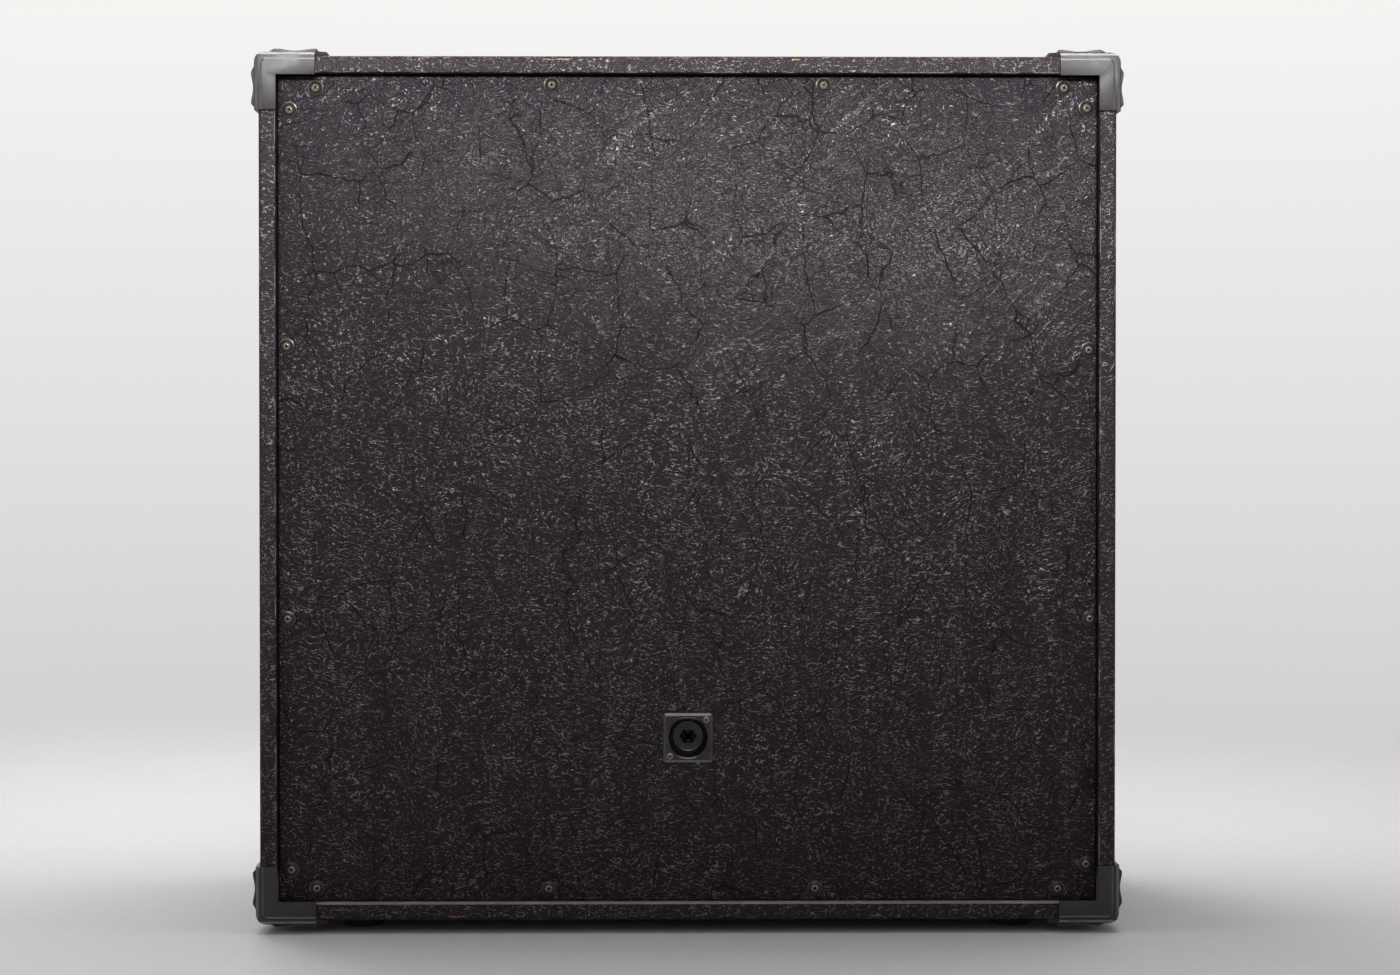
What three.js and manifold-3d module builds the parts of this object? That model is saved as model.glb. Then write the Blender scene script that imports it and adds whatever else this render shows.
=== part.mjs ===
// A square closed-back loudspeaker cabinet: a comb-jointed plywood shell in a vinyl covering, moulded corners
// with stacking ridges, a screwed back panel with a jack plate, and four drivers behind a cloth grille.
// Millimetres, +Z up, +Y towards the back panel, with the origin on the floor under the cabinet's middle.
import * as THREE from "three";
import { mergeVertices } from "three/addons/utils/BufferGeometryUtils.js";
import Module from "manifold-3d";

const wasm = await Module();
wasm.setup();

// Drivers: the rim radius sets the size of the whole cabinet
const driverRadius = 154.5;
const driverGap = 47;
const sideMargin = 34.5;
const endMargin = 37.5;

// Walls of the shell and what stands between its front and back edges
const boardThickness = 13;
const vinylThickness = 1;
const edgeRound = 4;
const boardChamfer = 3;
const shellCornerRound = 7;
const skinGap = 0.3;
const combFingers = 7;
const frontReveal = 5;
const clothThickness = 1.25;
const grilleFrameThickness = 12;
const grilleFrameWidth = 28;
const grilleGap = 2;
const baffleThickness = 18;
const baffleHoleMargin = 13.5;
const rearAir = 171.75;
const battenDepth = 20;
const battenWidth = 25;
const panelThickness = 13;
const panelRecess = 11;
const panelSideGap = 0.8;
const panelTopGap = 1.5;
const panelRound = 1.5;
const panelCornerRound = 3;
const postWidth = 40;

// Basket: a pressed steel frame, with the surround and the spider fixed in it
const rimThickness = 3.5;
const rimWidth = 9.5;
const basketWall = 2;
const basketDepth = 72;
const basketFootRadius = 84;
const basketFootHeight = 8;
const basketBoreRadius = 30;
const basketSkirt = 6;
const spokeCount = 4;
const spokeWidth = 34;
const spokeInset = 0.2;
const surroundPlace = 8;
const surroundRise = 3;
const surroundThickness = 1.2;
const terminalLength = 12;
const terminalWidth = 22;
const terminalHeight = 14;
const terminalPlace = 40;

// Magnet: front plate, ring, back plate and the pole inside the coil
const frontPlateRadius = 60;
const plateThickness = 6;
const ringRadius = 78;
const ringThickness = 20;
const backPlateRadius = 66;
const poleRadius = 20.5;
const plateBoreRadius = 24.25;

// Cone: paper cone, dust cap and coil former, which slide along the driver's axis
const coneMargin = 26.5;
const coneTravel = 4;
const conePaper = 1.6;
const coneThroatPlace = 60;
const capRadius = 38;
const capRise = 11;
const capShare = 0.8;
const formerRadius = 22.75;
const formerWall = 1.5;
const formerEnd = 86;
const runningGap = 0.3;

// Back panel screws with cup washers: insets from the shell's outside, and the drift of each hand-set screw
// from its place as shares of its washer's radius
const screwInsetTop = 26;
const screwInsetSide = 25;
const screwCornerInset = 47.5;
const screwInnerShare = 0.362;
const washerRadius = 7.2;
const washerHeight = 2.6;
const washerNeckRadius = 4.6;
const screwHeadRise = 1.1;
const screwShankRadius = 2;
const screwTipGap = 4;
const screwLength = 26;
const screwHoleGap = 0.4;
const screwDriftShares = {
  top: [[-0.3, -0.2], [0.1, 0.2], [0, 0.2], [-0.2, -0.1]],
  right: [[-0.2, 0.1], [0.2, 0.7], [0.1, 0.8], [-0.3, -0.5]],
  left: [[0.1, 0.4], [-0.2, 0.3], [-0.4, 0.8], [0, 0.1]],
  bottom: [[-0.3, 0.2], [0.5, 0.1], [1, 0.1], [0.4, 0]],
};

// Jack plate, its dish and the socket
const jackHeight = 161.5;
const plateSize = 44;
const plateEdge = 1;
const plateRise = 3;
const plateBevel = 3.5;
const dishRadius = 14.25;
const dishWall = 2.25;
const dishDepth = 16;
const dishFloor = 2.5;
const dishLip = 1.4;
const dishGap = 0.5;
const plateScrewReach = 16.3;
const plateScrewRadius = 3.3;
const plateScrewRise = 1.3;
const screwCrownShare = 0.75;
const plateScrewShank = 1.4;
const plateScrewLength = 10;
const plateScrewGap = 0.4;
const bushingRadius = 4.75;
const bushingLength = 6;
const nutRadius = 7.4;
const nutThickness = 2.5;
const socketWidth = 16;
const socketHeight = 22;
const socketLength = 24;
const socketBoreRadius = 3.3;
const socketBoreDepth = 24;
const lugLength = 7;
const lugWidth = 3;
const lugThickness = 1.2;

// Recessed carrying handle in each side board
const handleCutLength = 176;
const handleCutHeight = 112;
const handleCutRound = 18;
const handleGap = 0.8;
const handleFlange = 12;
const handleFlangeThickness = 2.6;
const handleWall = 2.5;
const handleDepth = 50;
const handleFloorRound = 8;
const gripRadius = 12;
const gripEndRadius = 9.5;
const gripInset = 4;
const gripRaise = 22;

// Moulded corner: an L-shaped flange on the shell's edge, a leaf on the side, a longer leaf on the top or
// bottom, and the stacking ridges over both leaves
const cornerSideReach = 48;
const cornerArmReach = 50.5;
const cornerTopReach = 60;
const cornerDepthReach = 56;
const cornerSideWidth = 16;
const cornerArmWidth = 17;
const cornerWall = 4;
const cornerFlangeThickness = 3.5;
const cornerRound = 11.5;
const cornerEdgeRound = 8;
const cornerFreeRound = 24;
const cornerStepBack = 3;
const ridgeHeight = 7;
const ridgeDip = 1.8;
const ridgeSlope = 6;
const ridgeStart = 14;
const ridgeBehind = 5;
const ridgeDepthReach = 48;
const ridgeSoftEdge = 1.5;

// Feet
const footHeight = 12;
const footTopRadius = 20;
const footRadius = 18;
const footRecessRadius = 7;
const footRecessDepth = 4;
const footClear = 7;

// Wiring
const wireRadius = 2.5;
const hubWidth = 24;
const hubHeight = 10;
const hubLength = 16;
const hubPlace = 40;
const wireSag = 14;

// Fineness of the round forms, and the overrun of every cut
const driverSides = 16;
const magnetSides = 12;
const holeSides = 24;
const screwSides = 8;
const pilotSides = 6;
const dishSides = 16;
const nutSides = 6;
const squareSides = 4;
const footSides = 10;
const wireSides = 5;
const wireSteps = 4;
const arcSteps = 3;
const softSteps = 2;
const ridgeSteps = 6;
const overrun = 5;
const mergeDistance = 1e-4;
const snapDistance = 1e-3;

const finishes = {
  plywood: { color: 0xc39a63, roughness: 0.75, metalness: 0 },
  vinyl: { color: 0x2a282b, roughness: 0.62, metalness: 0 },
  moulding: { color: 0x39383a, roughness: 0.5, metalness: 0 },
  rubber: { color: 0x1c1b1c, roughness: 0.85, metalness: 0 },
  steel: { color: 0xb9b3a4, roughness: 0.32, metalness: 0.9 },
  painted: { color: 0x1f2022, roughness: 0.45, metalness: 0.3 },
  ferrite: { color: 0x303033, roughness: 0.6, metalness: 0.4 },
  paper: { color: 0x2b2622, roughness: 0.9, metalness: 0 },
  cloth: { color: 0x201f20, roughness: 0.95, metalness: 0 },
  wire: { color: 0x6b1a1a, roughness: 0.5, metalness: 0 },
};

// Sizes worked out from those above
const innerWidth = 4 * driverRadius + driverGap + 2 * sideMargin;
const innerHeight = 4 * driverRadius + driverGap + 2 * endMargin;
const boardWidth = innerWidth + 2 * boardThickness;
const boardHeight = innerHeight + 2 * boardThickness;
const shellWidth = boardWidth + 2 * vinylThickness;
const shellHeight = boardHeight + 2 * vinylThickness;
const liningWidth = innerWidth - 2 * vinylThickness;
const liningHeight = innerHeight - 2 * vinylThickness;
const magnetDepth = 2 * plateThickness + ringThickness;
const shellDepth = frontReveal + clothThickness + grilleFrameThickness + baffleThickness + basketDepth
  + magnetDepth + rearAir + battenDepth + panelThickness + panelRecess;
const halfWidth = shellWidth / 2;
const halfHeight = shellHeight / 2;
const backEdge = shellDepth / 2;
const frontEdge = -backEdge;
const panelFace = backEdge - panelRecess;
const panelInner = panelFace - panelThickness;
const battenFront = panelInner - battenDepth;
const clothFace = frontEdge + frontReveal;
const clothBack = clothFace + clothThickness;
const baffleFront = clothBack + grilleFrameThickness;
const baffleBack = baffleFront + baffleThickness;
const driverOffset = driverRadius + driverGap / 2;
const jackZ = jackHeight - halfHeight;
const dishFloorFront = panelFace - dishDepth;
const dishFloorBack = dishFloorFront - dishFloor;
const terminalTurn = Math.PI / driverSides;
const baffleHoleRadius = driverRadius - baffleHoleMargin;
const coneRadius = driverRadius - coneMargin;
const spiderPlace = coneThroatPlace + conePaper + coneTravel + runningGap;

// A closed geometry as a solid that can be cut and joined.
function solidOf(geometry) {
  const bare = geometry.clone();
  bare.deleteAttribute("normal");
  bare.deleteAttribute("uv");
  const merged = mergeVertices(bare, mergeDistance);
  return new wasm.Manifold(
    new wasm.Mesh({
      numProp: 3,
      vertProperties: merged.getAttribute("position").array,
      triVerts: new Uint32Array(merged.index.array),
    }),
  );
}

function geometryOf(solid) {
  const made = solid.getMesh();
  const points = new Float32Array(made.numVert * 3);
  for (let i = 0; i < made.numVert; i++) {
    points.set(made.vertProperties.subarray(i * made.numProp, i * made.numProp + 3), i * 3);
  }
  const geometry = new THREE.BufferGeometry();
  geometry.setAttribute("position", new THREE.BufferAttribute(points, 3));
  geometry.setIndex(new THREE.BufferAttribute(new Uint32Array(made.triVerts), 1));
  geometry.computeVertexNormals();
  return geometry;
}

const joined = (solids) => solids.reduce((whole, next) => whole.add(next));
const cutBy = (solid, cutters) => cutters.reduce((whole, next) => whole.subtract(next), solid);

// Moves a geometry along one axis until it runs from low to high, and sets both ends exactly.
function fitAxis(geometry, axis, low, high) {
  const points = geometry.getAttribute("position");
  const index = { x: 0, y: 1, z: 2 }[axis];
  geometry.computeBoundingBox();
  const from = geometry.boundingBox.min[axis];
  const to = geometry.boundingBox.max[axis];
  for (let i = 0; i < points.count; i++) {
    const value = points.getComponent(i, index);
    const moved = value - from + low;
    const end = value > to - snapDistance ? high : moved;
    points.setComponent(i, index, value < from + snapDistance ? low : end);
  }
  return geometry;
}

function box(x0, x1, y0, y1, z0, z1) {
  const geometry = new THREE.BoxGeometry(x1 - x0, y1 - y0, z1 - z0);
  fitAxis(geometry, "x", x0, x1);
  fitAxis(geometry, "y", y0, y1);
  fitAxis(geometry, "z", z0, z1);
  return solidOf(geometry);
}

// An outline drawn in (x, z), (y, z) or (x, y), extruded along the axis that is left, from low to high.
// A round or bevel of the two end edges keeps the outline's full size in between.
function prism(outline, axis, low, high, { round = 0, steps = 1, arcs = softSteps } = {}) {
  const geometry = new THREE.ExtrudeGeometry(outline, {
    depth: high - low - 2 * round,
    bevelEnabled: round > 0,
    bevelThickness: round,
    bevelSize: round,
    bevelOffset: -round,
    bevelSegments: steps,
    curveSegments: arcs,
  });
  const axisTurns = {
    x: new THREE.Matrix4().set(0, 0, 1, 0, 1, 0, 0, 0, 0, 1, 0, 0, 0, 0, 0, 1),
    y: new THREE.Matrix4().set(1, 0, 0, 0, 0, 0, -1, 0, 0, 1, 0, 0, 0, 0, 0, 1),
    z: new THREE.Matrix4(),
  };
  geometry.applyMatrix4(axisTurns[axis]);
  return fitAxis(geometry, axis, low, high);
}

function roundedRectangle(width, height, radius) {
  const w = width / 2;
  const h = height / 2;
  const shape = new THREE.Shape();
  shape.moveTo(w, radius - h);
  shape.lineTo(w, h - radius);
  shape.absarc(w - radius, h - radius, radius, 0, Math.PI / 2);
  shape.lineTo(radius - w, h);
  shape.absarc(radius - w, h - radius, radius, Math.PI / 2, Math.PI);
  shape.lineTo(-w, radius - h);
  shape.absarc(radius - w, radius - h, radius, Math.PI, 1.5 * Math.PI);
  shape.lineTo(w - radius, -h);
  shape.absarc(w - radius, radius - h, radius, 1.5 * Math.PI, 2 * Math.PI);
  return shape;
}

// A rounded rectangle along the depth, between two places, with softened ends and exact outer faces.
function block(width, height, y0, y1, radius, round, steps) {
  const geometry = prism(roundedRectangle(width, height, radius), "y", y0, y1, { round, steps });
  fitAxis(geometry, "x", -width / 2, width / 2);
  fitAxis(geometry, "z", -height / 2, height / 2);
  return geometry;
}

// A profile of [radius, place] pairs turned round the depth axis.
function turned(profile, sides) {
  const points = profile.map(([radius, place]) => new THREE.Vector2(radius, place));
  return new THREE.LatheGeometry(points, sides);
}

function cylinder(radius, y0, y1, sides) {
  return fitAxis(new THREE.CylinderGeometry(radius, radius, y1 - y0, sides), "y", y0, y1);
}

// The cabinet's own group stands at the middle of the shell, so that both halves mirror exactly.
const cabinet = new THREE.Group();
cabinet.position.z = footHeight + halfHeight;

function add(name, shape, finish, parent = cabinet) {
  const geometry = shape.isBufferGeometry ? shape : geometryOf(shape);
  const mesh = new THREE.Mesh(geometry, new THREE.MeshStandardMaterial(finishes[finish]));
  mesh.name = name;
  parent.add(mesh);
  return mesh;
}

// Shell

// The hand-hole that the boards and the covering share, on one side.
function handleCut(side) {
  const outline = roundedRectangle(handleCutLength, handleCutHeight, handleCutRound);
  const inside = innerWidth / 2 - overrun;
  const outside = halfWidth + overrun;
  const reach = side > 0 ? [inside, outside] : [-outside, -inside];
  return solidOf(prism(outline, "x", ...reach));
}

// Every second cell of the comb along the depth, from the given one on. The first and last cells run past
// the boards.
function combCells(from) {
  const depth = shellDepth - 2 * vinylThickness;
  const cells = [];
  for (let i = from; i < combFingers; i += 2) {
    const start = -depth / 2 + (depth * i) / combFingers;
    const end = -depth / 2 + (depth * (i + 1)) / combFingers;
    cells.push([i === 0 ? start - overrun : start, i === combFingers - 1 ? end + overrun : end]);
  }
  return cells;
}

function shellBoards() {
  const y0 = frontEdge + vinylThickness;
  const y1 = backEdge - vinylThickness;
  const round = shellCornerRound - vinylThickness;
  const outside = solidOf(block(boardWidth, boardHeight, y0, y1, round, boardChamfer, 1));
  const w = innerWidth / 2;
  const h = innerHeight / 2;
  const farX = halfWidth + overrun;
  const farZ = halfHeight + overrun;
  const ring = outside.subtract(box(-w, w, y0 - overrun, y1 + overrun, -h, h));
  for (const [name, sign] of [["top_board", 1], ["bottom_board", -1]]) {
    const [z0, z1] = sign > 0 ? [h, farZ] : [-farZ, -h];
    const whole = ring.intersect(box(-farX, farX, y0 - overrun, y1 + overrun, z0, z1));
    const slots = combCells(1).flatMap(([a, b]) => [
      box(w, farX, a, b, z0, z1),
      box(-farX, -w, a, b, z0, z1),
    ]);
    add(name, cutBy(whole, slots), "plywood");
  }
  for (const [name, sign] of [["right_side_board", 1], ["left_side_board", -1]]) {
    const [x0, x1] = sign > 0 ? [w, farX] : [-farX, -w];
    const whole = ring.intersect(box(x0, x1, y0 - overrun, y1 + overrun, -farZ, farZ));
    const slots = combCells(0).flatMap(([a, b]) => [
      box(x0, x1, a, b, h, farZ),
      box(x0, x1, a, b, -farZ, -h),
    ]);
    add(name, cutBy(whole, [...slots, handleCut(sign)]), "plywood");
  }
}

// One skin round the shell, turned in over the front and back edges as far as the baffle and the battens.
function vinylCovering() {
  const form = block(shellWidth, shellHeight, frontEdge, backEdge, shellCornerRound, edgeRound, softSteps);
  const y0 = frontEdge + vinylThickness;
  const y1 = backEdge - vinylThickness;
  const round = shellCornerRound - vinylThickness - 2 * skinGap;
  const boards = solidOf(block(boardWidth, boardHeight, y0, y1, round, boardChamfer - skinGap, 1));
  const w = innerWidth / 2;
  const h = innerHeight / 2;
  const bare = box(-w, w, y0 - overrun, y1 + overrun, -h, h);
  const lw = liningWidth / 2;
  const lh = liningHeight / 2;
  const lining = box(-lw, lw, frontEdge - overrun, backEdge + overrun, -lh, lh);
  const inside = box(-w, w, baffleFront, panelInner, -h, h);
  const cutters = [boards.subtract(bare), lining, inside, handleCut(1), handleCut(-1)];
  add("vinyl_covering", cutBy(solidOf(form), cutters), "vinyl");
}

function baffle() {
  const w = innerWidth / 2;
  const h = innerHeight / 2;
  const board = box(-w, w, baffleFront, baffleBack, -h, h);
  const hole = cylinder(baffleHoleRadius, baffleFront - overrun, baffleBack + overrun, holeSides);
  const holes = driverPlaces().map(([x, z]) => solidOf(hole.clone().translate(x, 0, z)));
  add("baffle_board", cutBy(board, holes), "plywood");
}

function centrePost() {
  const half = postWidth / 2;
  add("centre_post", box(-half, half, baffleBack, panelInner, -half, half), "plywood");
}

function grille() {
  const w = liningWidth / 2 - grilleGap;
  const h = liningHeight / 2 - grilleGap;
  const frame = box(-w, w, clothBack, baffleFront, -h, h);
  const iw = w - grilleFrameWidth;
  const ih = h - grilleFrameWidth;
  const middle = box(-iw, iw, clothBack - overrun, baffleFront + overrun, -ih, ih);
  add("grille_frame", frame.subtract(middle), "plywood");
  add("grille_cloth", box(-w, w, clothFace, clothBack, -h, h), "cloth");
}

// Back panel and what it holds

// Row, number and centre of each panel screw, four a side.
function screwPlaces() {
  const top = halfHeight - screwInsetTop;
  const side = halfWidth - screwInsetSide;
  const reaches = (half) => {
    const outer = half - screwCornerInset;
    const inner = outer * screwInnerShare;
    return [outer, inner, -inner, -outer];
  };
  const rows = {
    top: reaches(halfWidth).map((x) => [x, top]),
    right: reaches(halfHeight).map((z) => [side, z]),
    left: reaches(halfHeight).map((z) => [-side, z]),
    bottom: reaches(halfWidth).map((x) => [x, -top]),
  };
  return Object.entries(rows).flatMap(([row, grid]) =>
    grid.map(([x, z], i) => {
      const [across, up] = screwDriftShares[row][i];
      return [row, i + 1, x + across * washerRadius, z + up * washerRadius];
    }),
  );
}

function panelScrews() {
  const shape = turned(
    [
      [0, -screwLength],
      [screwShankRadius, -screwLength],
      [screwShankRadius, 0],
      [washerRadius, 0],
      [washerNeckRadius, washerHeight],
      [0, washerHeight + screwHeadRise],
    ],
    screwSides,
  );
  for (const [row, number, x, z] of screwPlaces()) {
    add(["panel_screw", row, number].join("_"), shape.clone(), "steel").position.set(x, panelFace, z);
  }
}

function screwHoles(y0, y1) {
  const hole = cylinder(screwShankRadius + screwHoleGap, y0, y1, pilotSides);
  return screwPlaces().map(([, , x, z]) => solidOf(hole.clone().translate(x, 0, z)));
}

function plateScrewPlaces() {
  return [
    ["upper", -plateScrewReach, plateScrewReach],
    ["lower", plateScrewReach, -plateScrewReach],
  ];
}

function backPanel() {
  const width = liningWidth - 2 * panelSideGap;
  const height = liningHeight - panelSideGap - panelTopGap;
  const sheet = block(width, height, panelInner, panelFace, panelCornerRound, panelRound, 1);
  sheet.translate(0, 0, (panelSideGap - panelTopGap) / 2);
  const y0 = panelInner - overrun;
  const y1 = panelFace + overrun;
  const dishHole = cylinder(dishRadius + dishWall + dishGap, y0, y1, dishSides).translate(0, 0, jackZ);
  const pilotEnd = panelFace - plateScrewLength - overrun;
  const pilot = cylinder(plateScrewShank + plateScrewGap, pilotEnd, y1, screwSides);
  const pilots = plateScrewPlaces().map(([, x, z]) => solidOf(pilot.clone().translate(x, 0, jackZ + z)));
  add("back_panel", cutBy(solidOf(sheet), [solidOf(dishHole), ...screwHoles(y0, y1), ...pilots]), "vinyl");
}

function battenFrame() {
  const w = innerWidth / 2;
  const h = innerHeight / 2;
  const iw = w - battenWidth;
  const ih = h - battenWidth;
  const whole = box(-w, w, battenFront, panelInner, -h, h);
  const middle = box(-iw, iw, battenFront - overrun, panelInner + overrun, -ih, ih);
  const holes = screwHoles(panelFace - screwLength - screwTipGap, panelInner + overrun);
  add("batten_frame", cutBy(whole, [middle, ...holes]), "plywood");
}

// Jack plate: a bevelled square with a round dish, whose floor carries the socket.
function jackPlate() {
  const half = plateSize / 2;
  const edge = box(-half, half, panelFace, panelFace + plateEdge, -half, half);
  const bevelled = new THREE.CylinderGeometry(
    (half - plateBevel) * Math.SQRT2,
    half * Math.SQRT2,
    plateRise - plateEdge,
    squareSides,
    1,
    false,
    Math.PI / squareSides,
  );
  fitAxis(bevelled, "y", panelFace + plateEdge, panelFace + plateRise);
  fitAxis(bevelled, "x", -half, half);
  fitAxis(bevelled, "z", -half, half);
  const cup = cylinder(dishRadius + dishWall, dishFloorBack, panelFace + plateEdge, dishSides);
  const front = panelFace + plateRise;
  const hollow = turned(
    [
      [0, dishFloorFront],
      [dishRadius, dishFloorFront],
      [dishRadius, front - dishLip],
      [dishRadius + dishLip, front],
      [dishRadius + dishLip, front + overrun],
      [0, front + overrun],
    ],
    dishSides,
  );
  const floorPast = [dishFloorBack - overrun, dishFloorFront + overrun];
  const bushingHole = cylinder(bushingRadius + skinGap, ...floorPast, dishSides);
  const screwHoleRadius = plateScrewShank + plateScrewGap;
  const screwHole = cylinder(screwHoleRadius, panelFace - overrun, front + overrun, screwSides);
  const screwSlots = plateScrewPlaces().map(([, x, z]) => solidOf(screwHole.clone().translate(x, 0, z)));
  const body = joined([edge, solidOf(bevelled), solidOf(cup)]);
  const plate = cutBy(body, [solidOf(hollow), solidOf(bushingHole), ...screwSlots]);
  add("jack_plate", plate, "moulding").position.z = jackZ;
  const screw = turned(
    [
      [0, -plateScrewLength],
      [plateScrewShank, -plateScrewLength + plateScrewShank],
      [plateScrewShank, 0],
      [plateScrewRadius, 0],
      [plateScrewRadius * screwCrownShare, plateScrewRise * screwCrownShare],
      [0, plateScrewRise],
    ],
    screwSides,
  );
  for (const [name, x, z] of plateScrewPlaces()) {
    add("jack_plate_screw_" + name, screw.clone(), "steel").position.set(x, front, jackZ + z);
  }
}

function jackSocket() {
  const w = socketWidth / 2;
  const h = socketHeight / 2;
  const back = dishFloorBack - socketLength;
  const body = box(-w, w, back, dishFloorBack, -h, h);
  const bushing = solidOf(cylinder(bushingRadius, dishFloorBack, dishFloorFront + bushingLength, dishSides));
  const nut = solidOf(cylinder(nutRadius, dishFloorFront, dishFloorFront + nutThickness, nutSides));
  const mouth = dishFloorFront + bushingLength;
  const bore = solidOf(cylinder(socketBoreRadius, mouth - socketBoreDepth, mouth + overrun, dishSides));
  const t = lugThickness / 2;
  const lug = (x) => box(x - lugWidth / 2, x + lugWidth / 2, back - lugLength, back, -t, t);
  const socket = cutBy(joined([body, bushing, nut, lug(-w / 2), lug(w / 2)]), [bore]);
  add("jack_socket", socket, "painted").position.z = jackZ;
}

// Drivers: every one is modelled on the depth axis, with its rim against the plane y = 0

function driverPlaces() {
  const d = driverOffset;
  return [
    [d, d],
    [-d, d],
    [d, -d],
    [-d, -d],
  ];
}

// Radius of the basket's outer wall at a depth behind the rim.
function wallRadius(place) {
  const top = driverRadius - rimWidth;
  const bottom = basketDepth - basketFootHeight;
  return top + ((basketFootRadius - top) * (place - rimThickness)) / (bottom - rimThickness);
}

// The rim with its short skirt, and the surround across to the cone.
function basketRim() {
  const wall = baffleHoleRadius - basketWall;
  const inner = coneRadius + runningGap;
  const skirt = rimThickness + basketSkirt + surroundThickness;
  return turned(
    [
      [inner, surroundPlace],
      [(wall + inner) / 2, surroundPlace - surroundRise],
      [wall, surroundPlace],
      [wall, 0],
      [driverRadius, 0],
      [driverRadius, rimThickness],
      [driverRadius - rimWidth, rimThickness],
      [wallRadius(skirt), skirt],
      [wall, surroundPlace + surroundThickness],
      [inner, surroundPlace + surroundThickness],
      [inner, surroundPlace],
    ],
    driverSides,
  );
}

// The foot that carries the magnet, and the spider across to the coil former.
function basketFoot() {
  const wall = basketFootRadius - basketWall;
  const inner = formerRadius + runningGap;
  return turned(
    [
      [inner, spiderPlace],
      [basketFootRadius, spiderPlace],
      [basketFootRadius, basketDepth],
      [basketBoreRadius, basketDepth],
      [basketBoreRadius, basketDepth - basketWall],
      [wall, basketDepth - basketWall],
      [wall, spiderPlace + surroundThickness],
      [inner, spiderPlace + surroundThickness],
      [inner, spiderPlace],
    ],
    driverSides,
  );
}

// Four flat spokes from the skirt to the foot, each on a flat of the basket's wall.
function basketSpokes() {
  const flat = Math.cos(Math.PI / driverSides);
  const top = rimThickness + basketSkirt / 2;
  const bottom = basketDepth - basketFootHeight / 2;
  const low = basketDepth - basketFootHeight;
  const outer = (place) => wallRadius(place) * flat - spokeInset;
  const arm = polygon([
    [outer(top) - basketWall, top],
    [outer(top), top],
    [outer(low), low],
    [outer(low), bottom],
    [outer(low) - basketWall, bottom],
    [outer(low) - basketWall, low],
  ]);
  const spokes = [];
  for (let i = 0; i < spokeCount; i++) {
    const spoke = prism(arm, "z", -spokeWidth / 2, spokeWidth / 2);
    spokes.push(solidOf(spoke.rotateY(terminalTurn + (2 * Math.PI * i) / spokeCount)));
  }
  return spokes;
}

function basketShape() {
  return joined([solidOf(basketRim()), solidOf(basketFoot()), ...basketSpokes(), terminalBlock()]);
}

// The terminal block stands on the first spoke.
function terminalBlock() {
  const inner = wallRadius(terminalPlace + terminalHeight) - basketWall;
  const half = terminalWidth / 2;
  const geometry = new THREE.BoxGeometry(terminalRadius() - inner, terminalHeight, terminalWidth);
  fitAxis(geometry, "x", inner, terminalRadius());
  fitAxis(geometry, "y", terminalPlace, terminalPlace + terminalHeight);
  fitAxis(geometry, "z", -half, half);
  return solidOf(geometry.rotateY(terminalTurn));
}

function terminalRadius() {
  return wallRadius(terminalPlace) + terminalLength;
}

function magnetShape() {
  const front = basketDepth;
  const ringFront = front + plateThickness;
  const ringBack = ringFront + ringThickness;
  const back = ringBack + plateThickness;
  return turned(
    [
      [0, front],
      [poleRadius, front],
      [poleRadius, ringBack],
      [plateBoreRadius, ringBack],
      [plateBoreRadius, front],
      [frontPlateRadius, front],
      [frontPlateRadius, ringFront],
      [ringRadius, ringFront],
      [ringRadius, ringBack],
      [backPlateRadius, back],
      [0, back],
    ],
    magnetSides,
  );
}

function coneShape() {
  const rim = surroundPlace;
  const throatOuter = formerRadius + conePaper;
  const formerInner = formerRadius - formerWall;
  const capPlace = rim + ((coneThroatPlace - rim) * (coneRadius - capRadius)) / (coneRadius - formerRadius);
  return turned(
    [
      [0, capPlace - capRise],
      [capRadius / 2, capPlace - capRise * capShare],
      [capRadius, capPlace],
      [coneRadius, rim],
      [coneRadius, rim + conePaper],
      [throatOuter, coneThroatPlace],
      [formerRadius, coneThroatPlace + conePaper],
      [formerRadius, formerEnd],
      [formerInner, formerEnd],
      [formerInner, coneThroatPlace - conePaper],
      [0, capPlace - capRise + conePaper],
    ],
    driverSides,
  );
}

function drivers() {
  const basket = geometryOf(basketShape());
  const magnet = magnetShape();
  const cone = coneShape();
  const names = ["upper_right", "upper_left", "lower_right", "lower_left"];
  driverPlaces().forEach(([x, z], i) => {
    const place = new THREE.Group();
    place.position.set(x, baffleBack, z);
    place.rotation.y = Math.atan2(z, -x) - terminalTurn;
    cabinet.add(place);
    add("driver_basket_" + names[i], basket.clone(), "painted", place);
    add("driver_magnet_" + names[i], magnet.clone(), "ferrite", place);
    add("driver_cone_" + names[i], cone.clone(), "paper", place);
  });
}

// Wiring

function wire(points) {
  const path = new THREE.CatmullRomCurve3(points.map(([x, y, z]) => new THREE.Vector3(x, y, z)));
  const section = new THREE.Shape();
  for (let i = 0; i < wireSides; i++) {
    const angle = (2 * Math.PI * i) / wireSides;
    const [u, v] = [wireRadius * Math.cos(angle), wireRadius * Math.sin(angle)];
    if (i === 0) {
      section.moveTo(u, v);
    } else {
      section.lineTo(u, v);
    }
  }
  return solidOf(new THREE.ExtrudeGeometry(section, { steps: wireSteps, extrudePath: path }));
}

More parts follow.
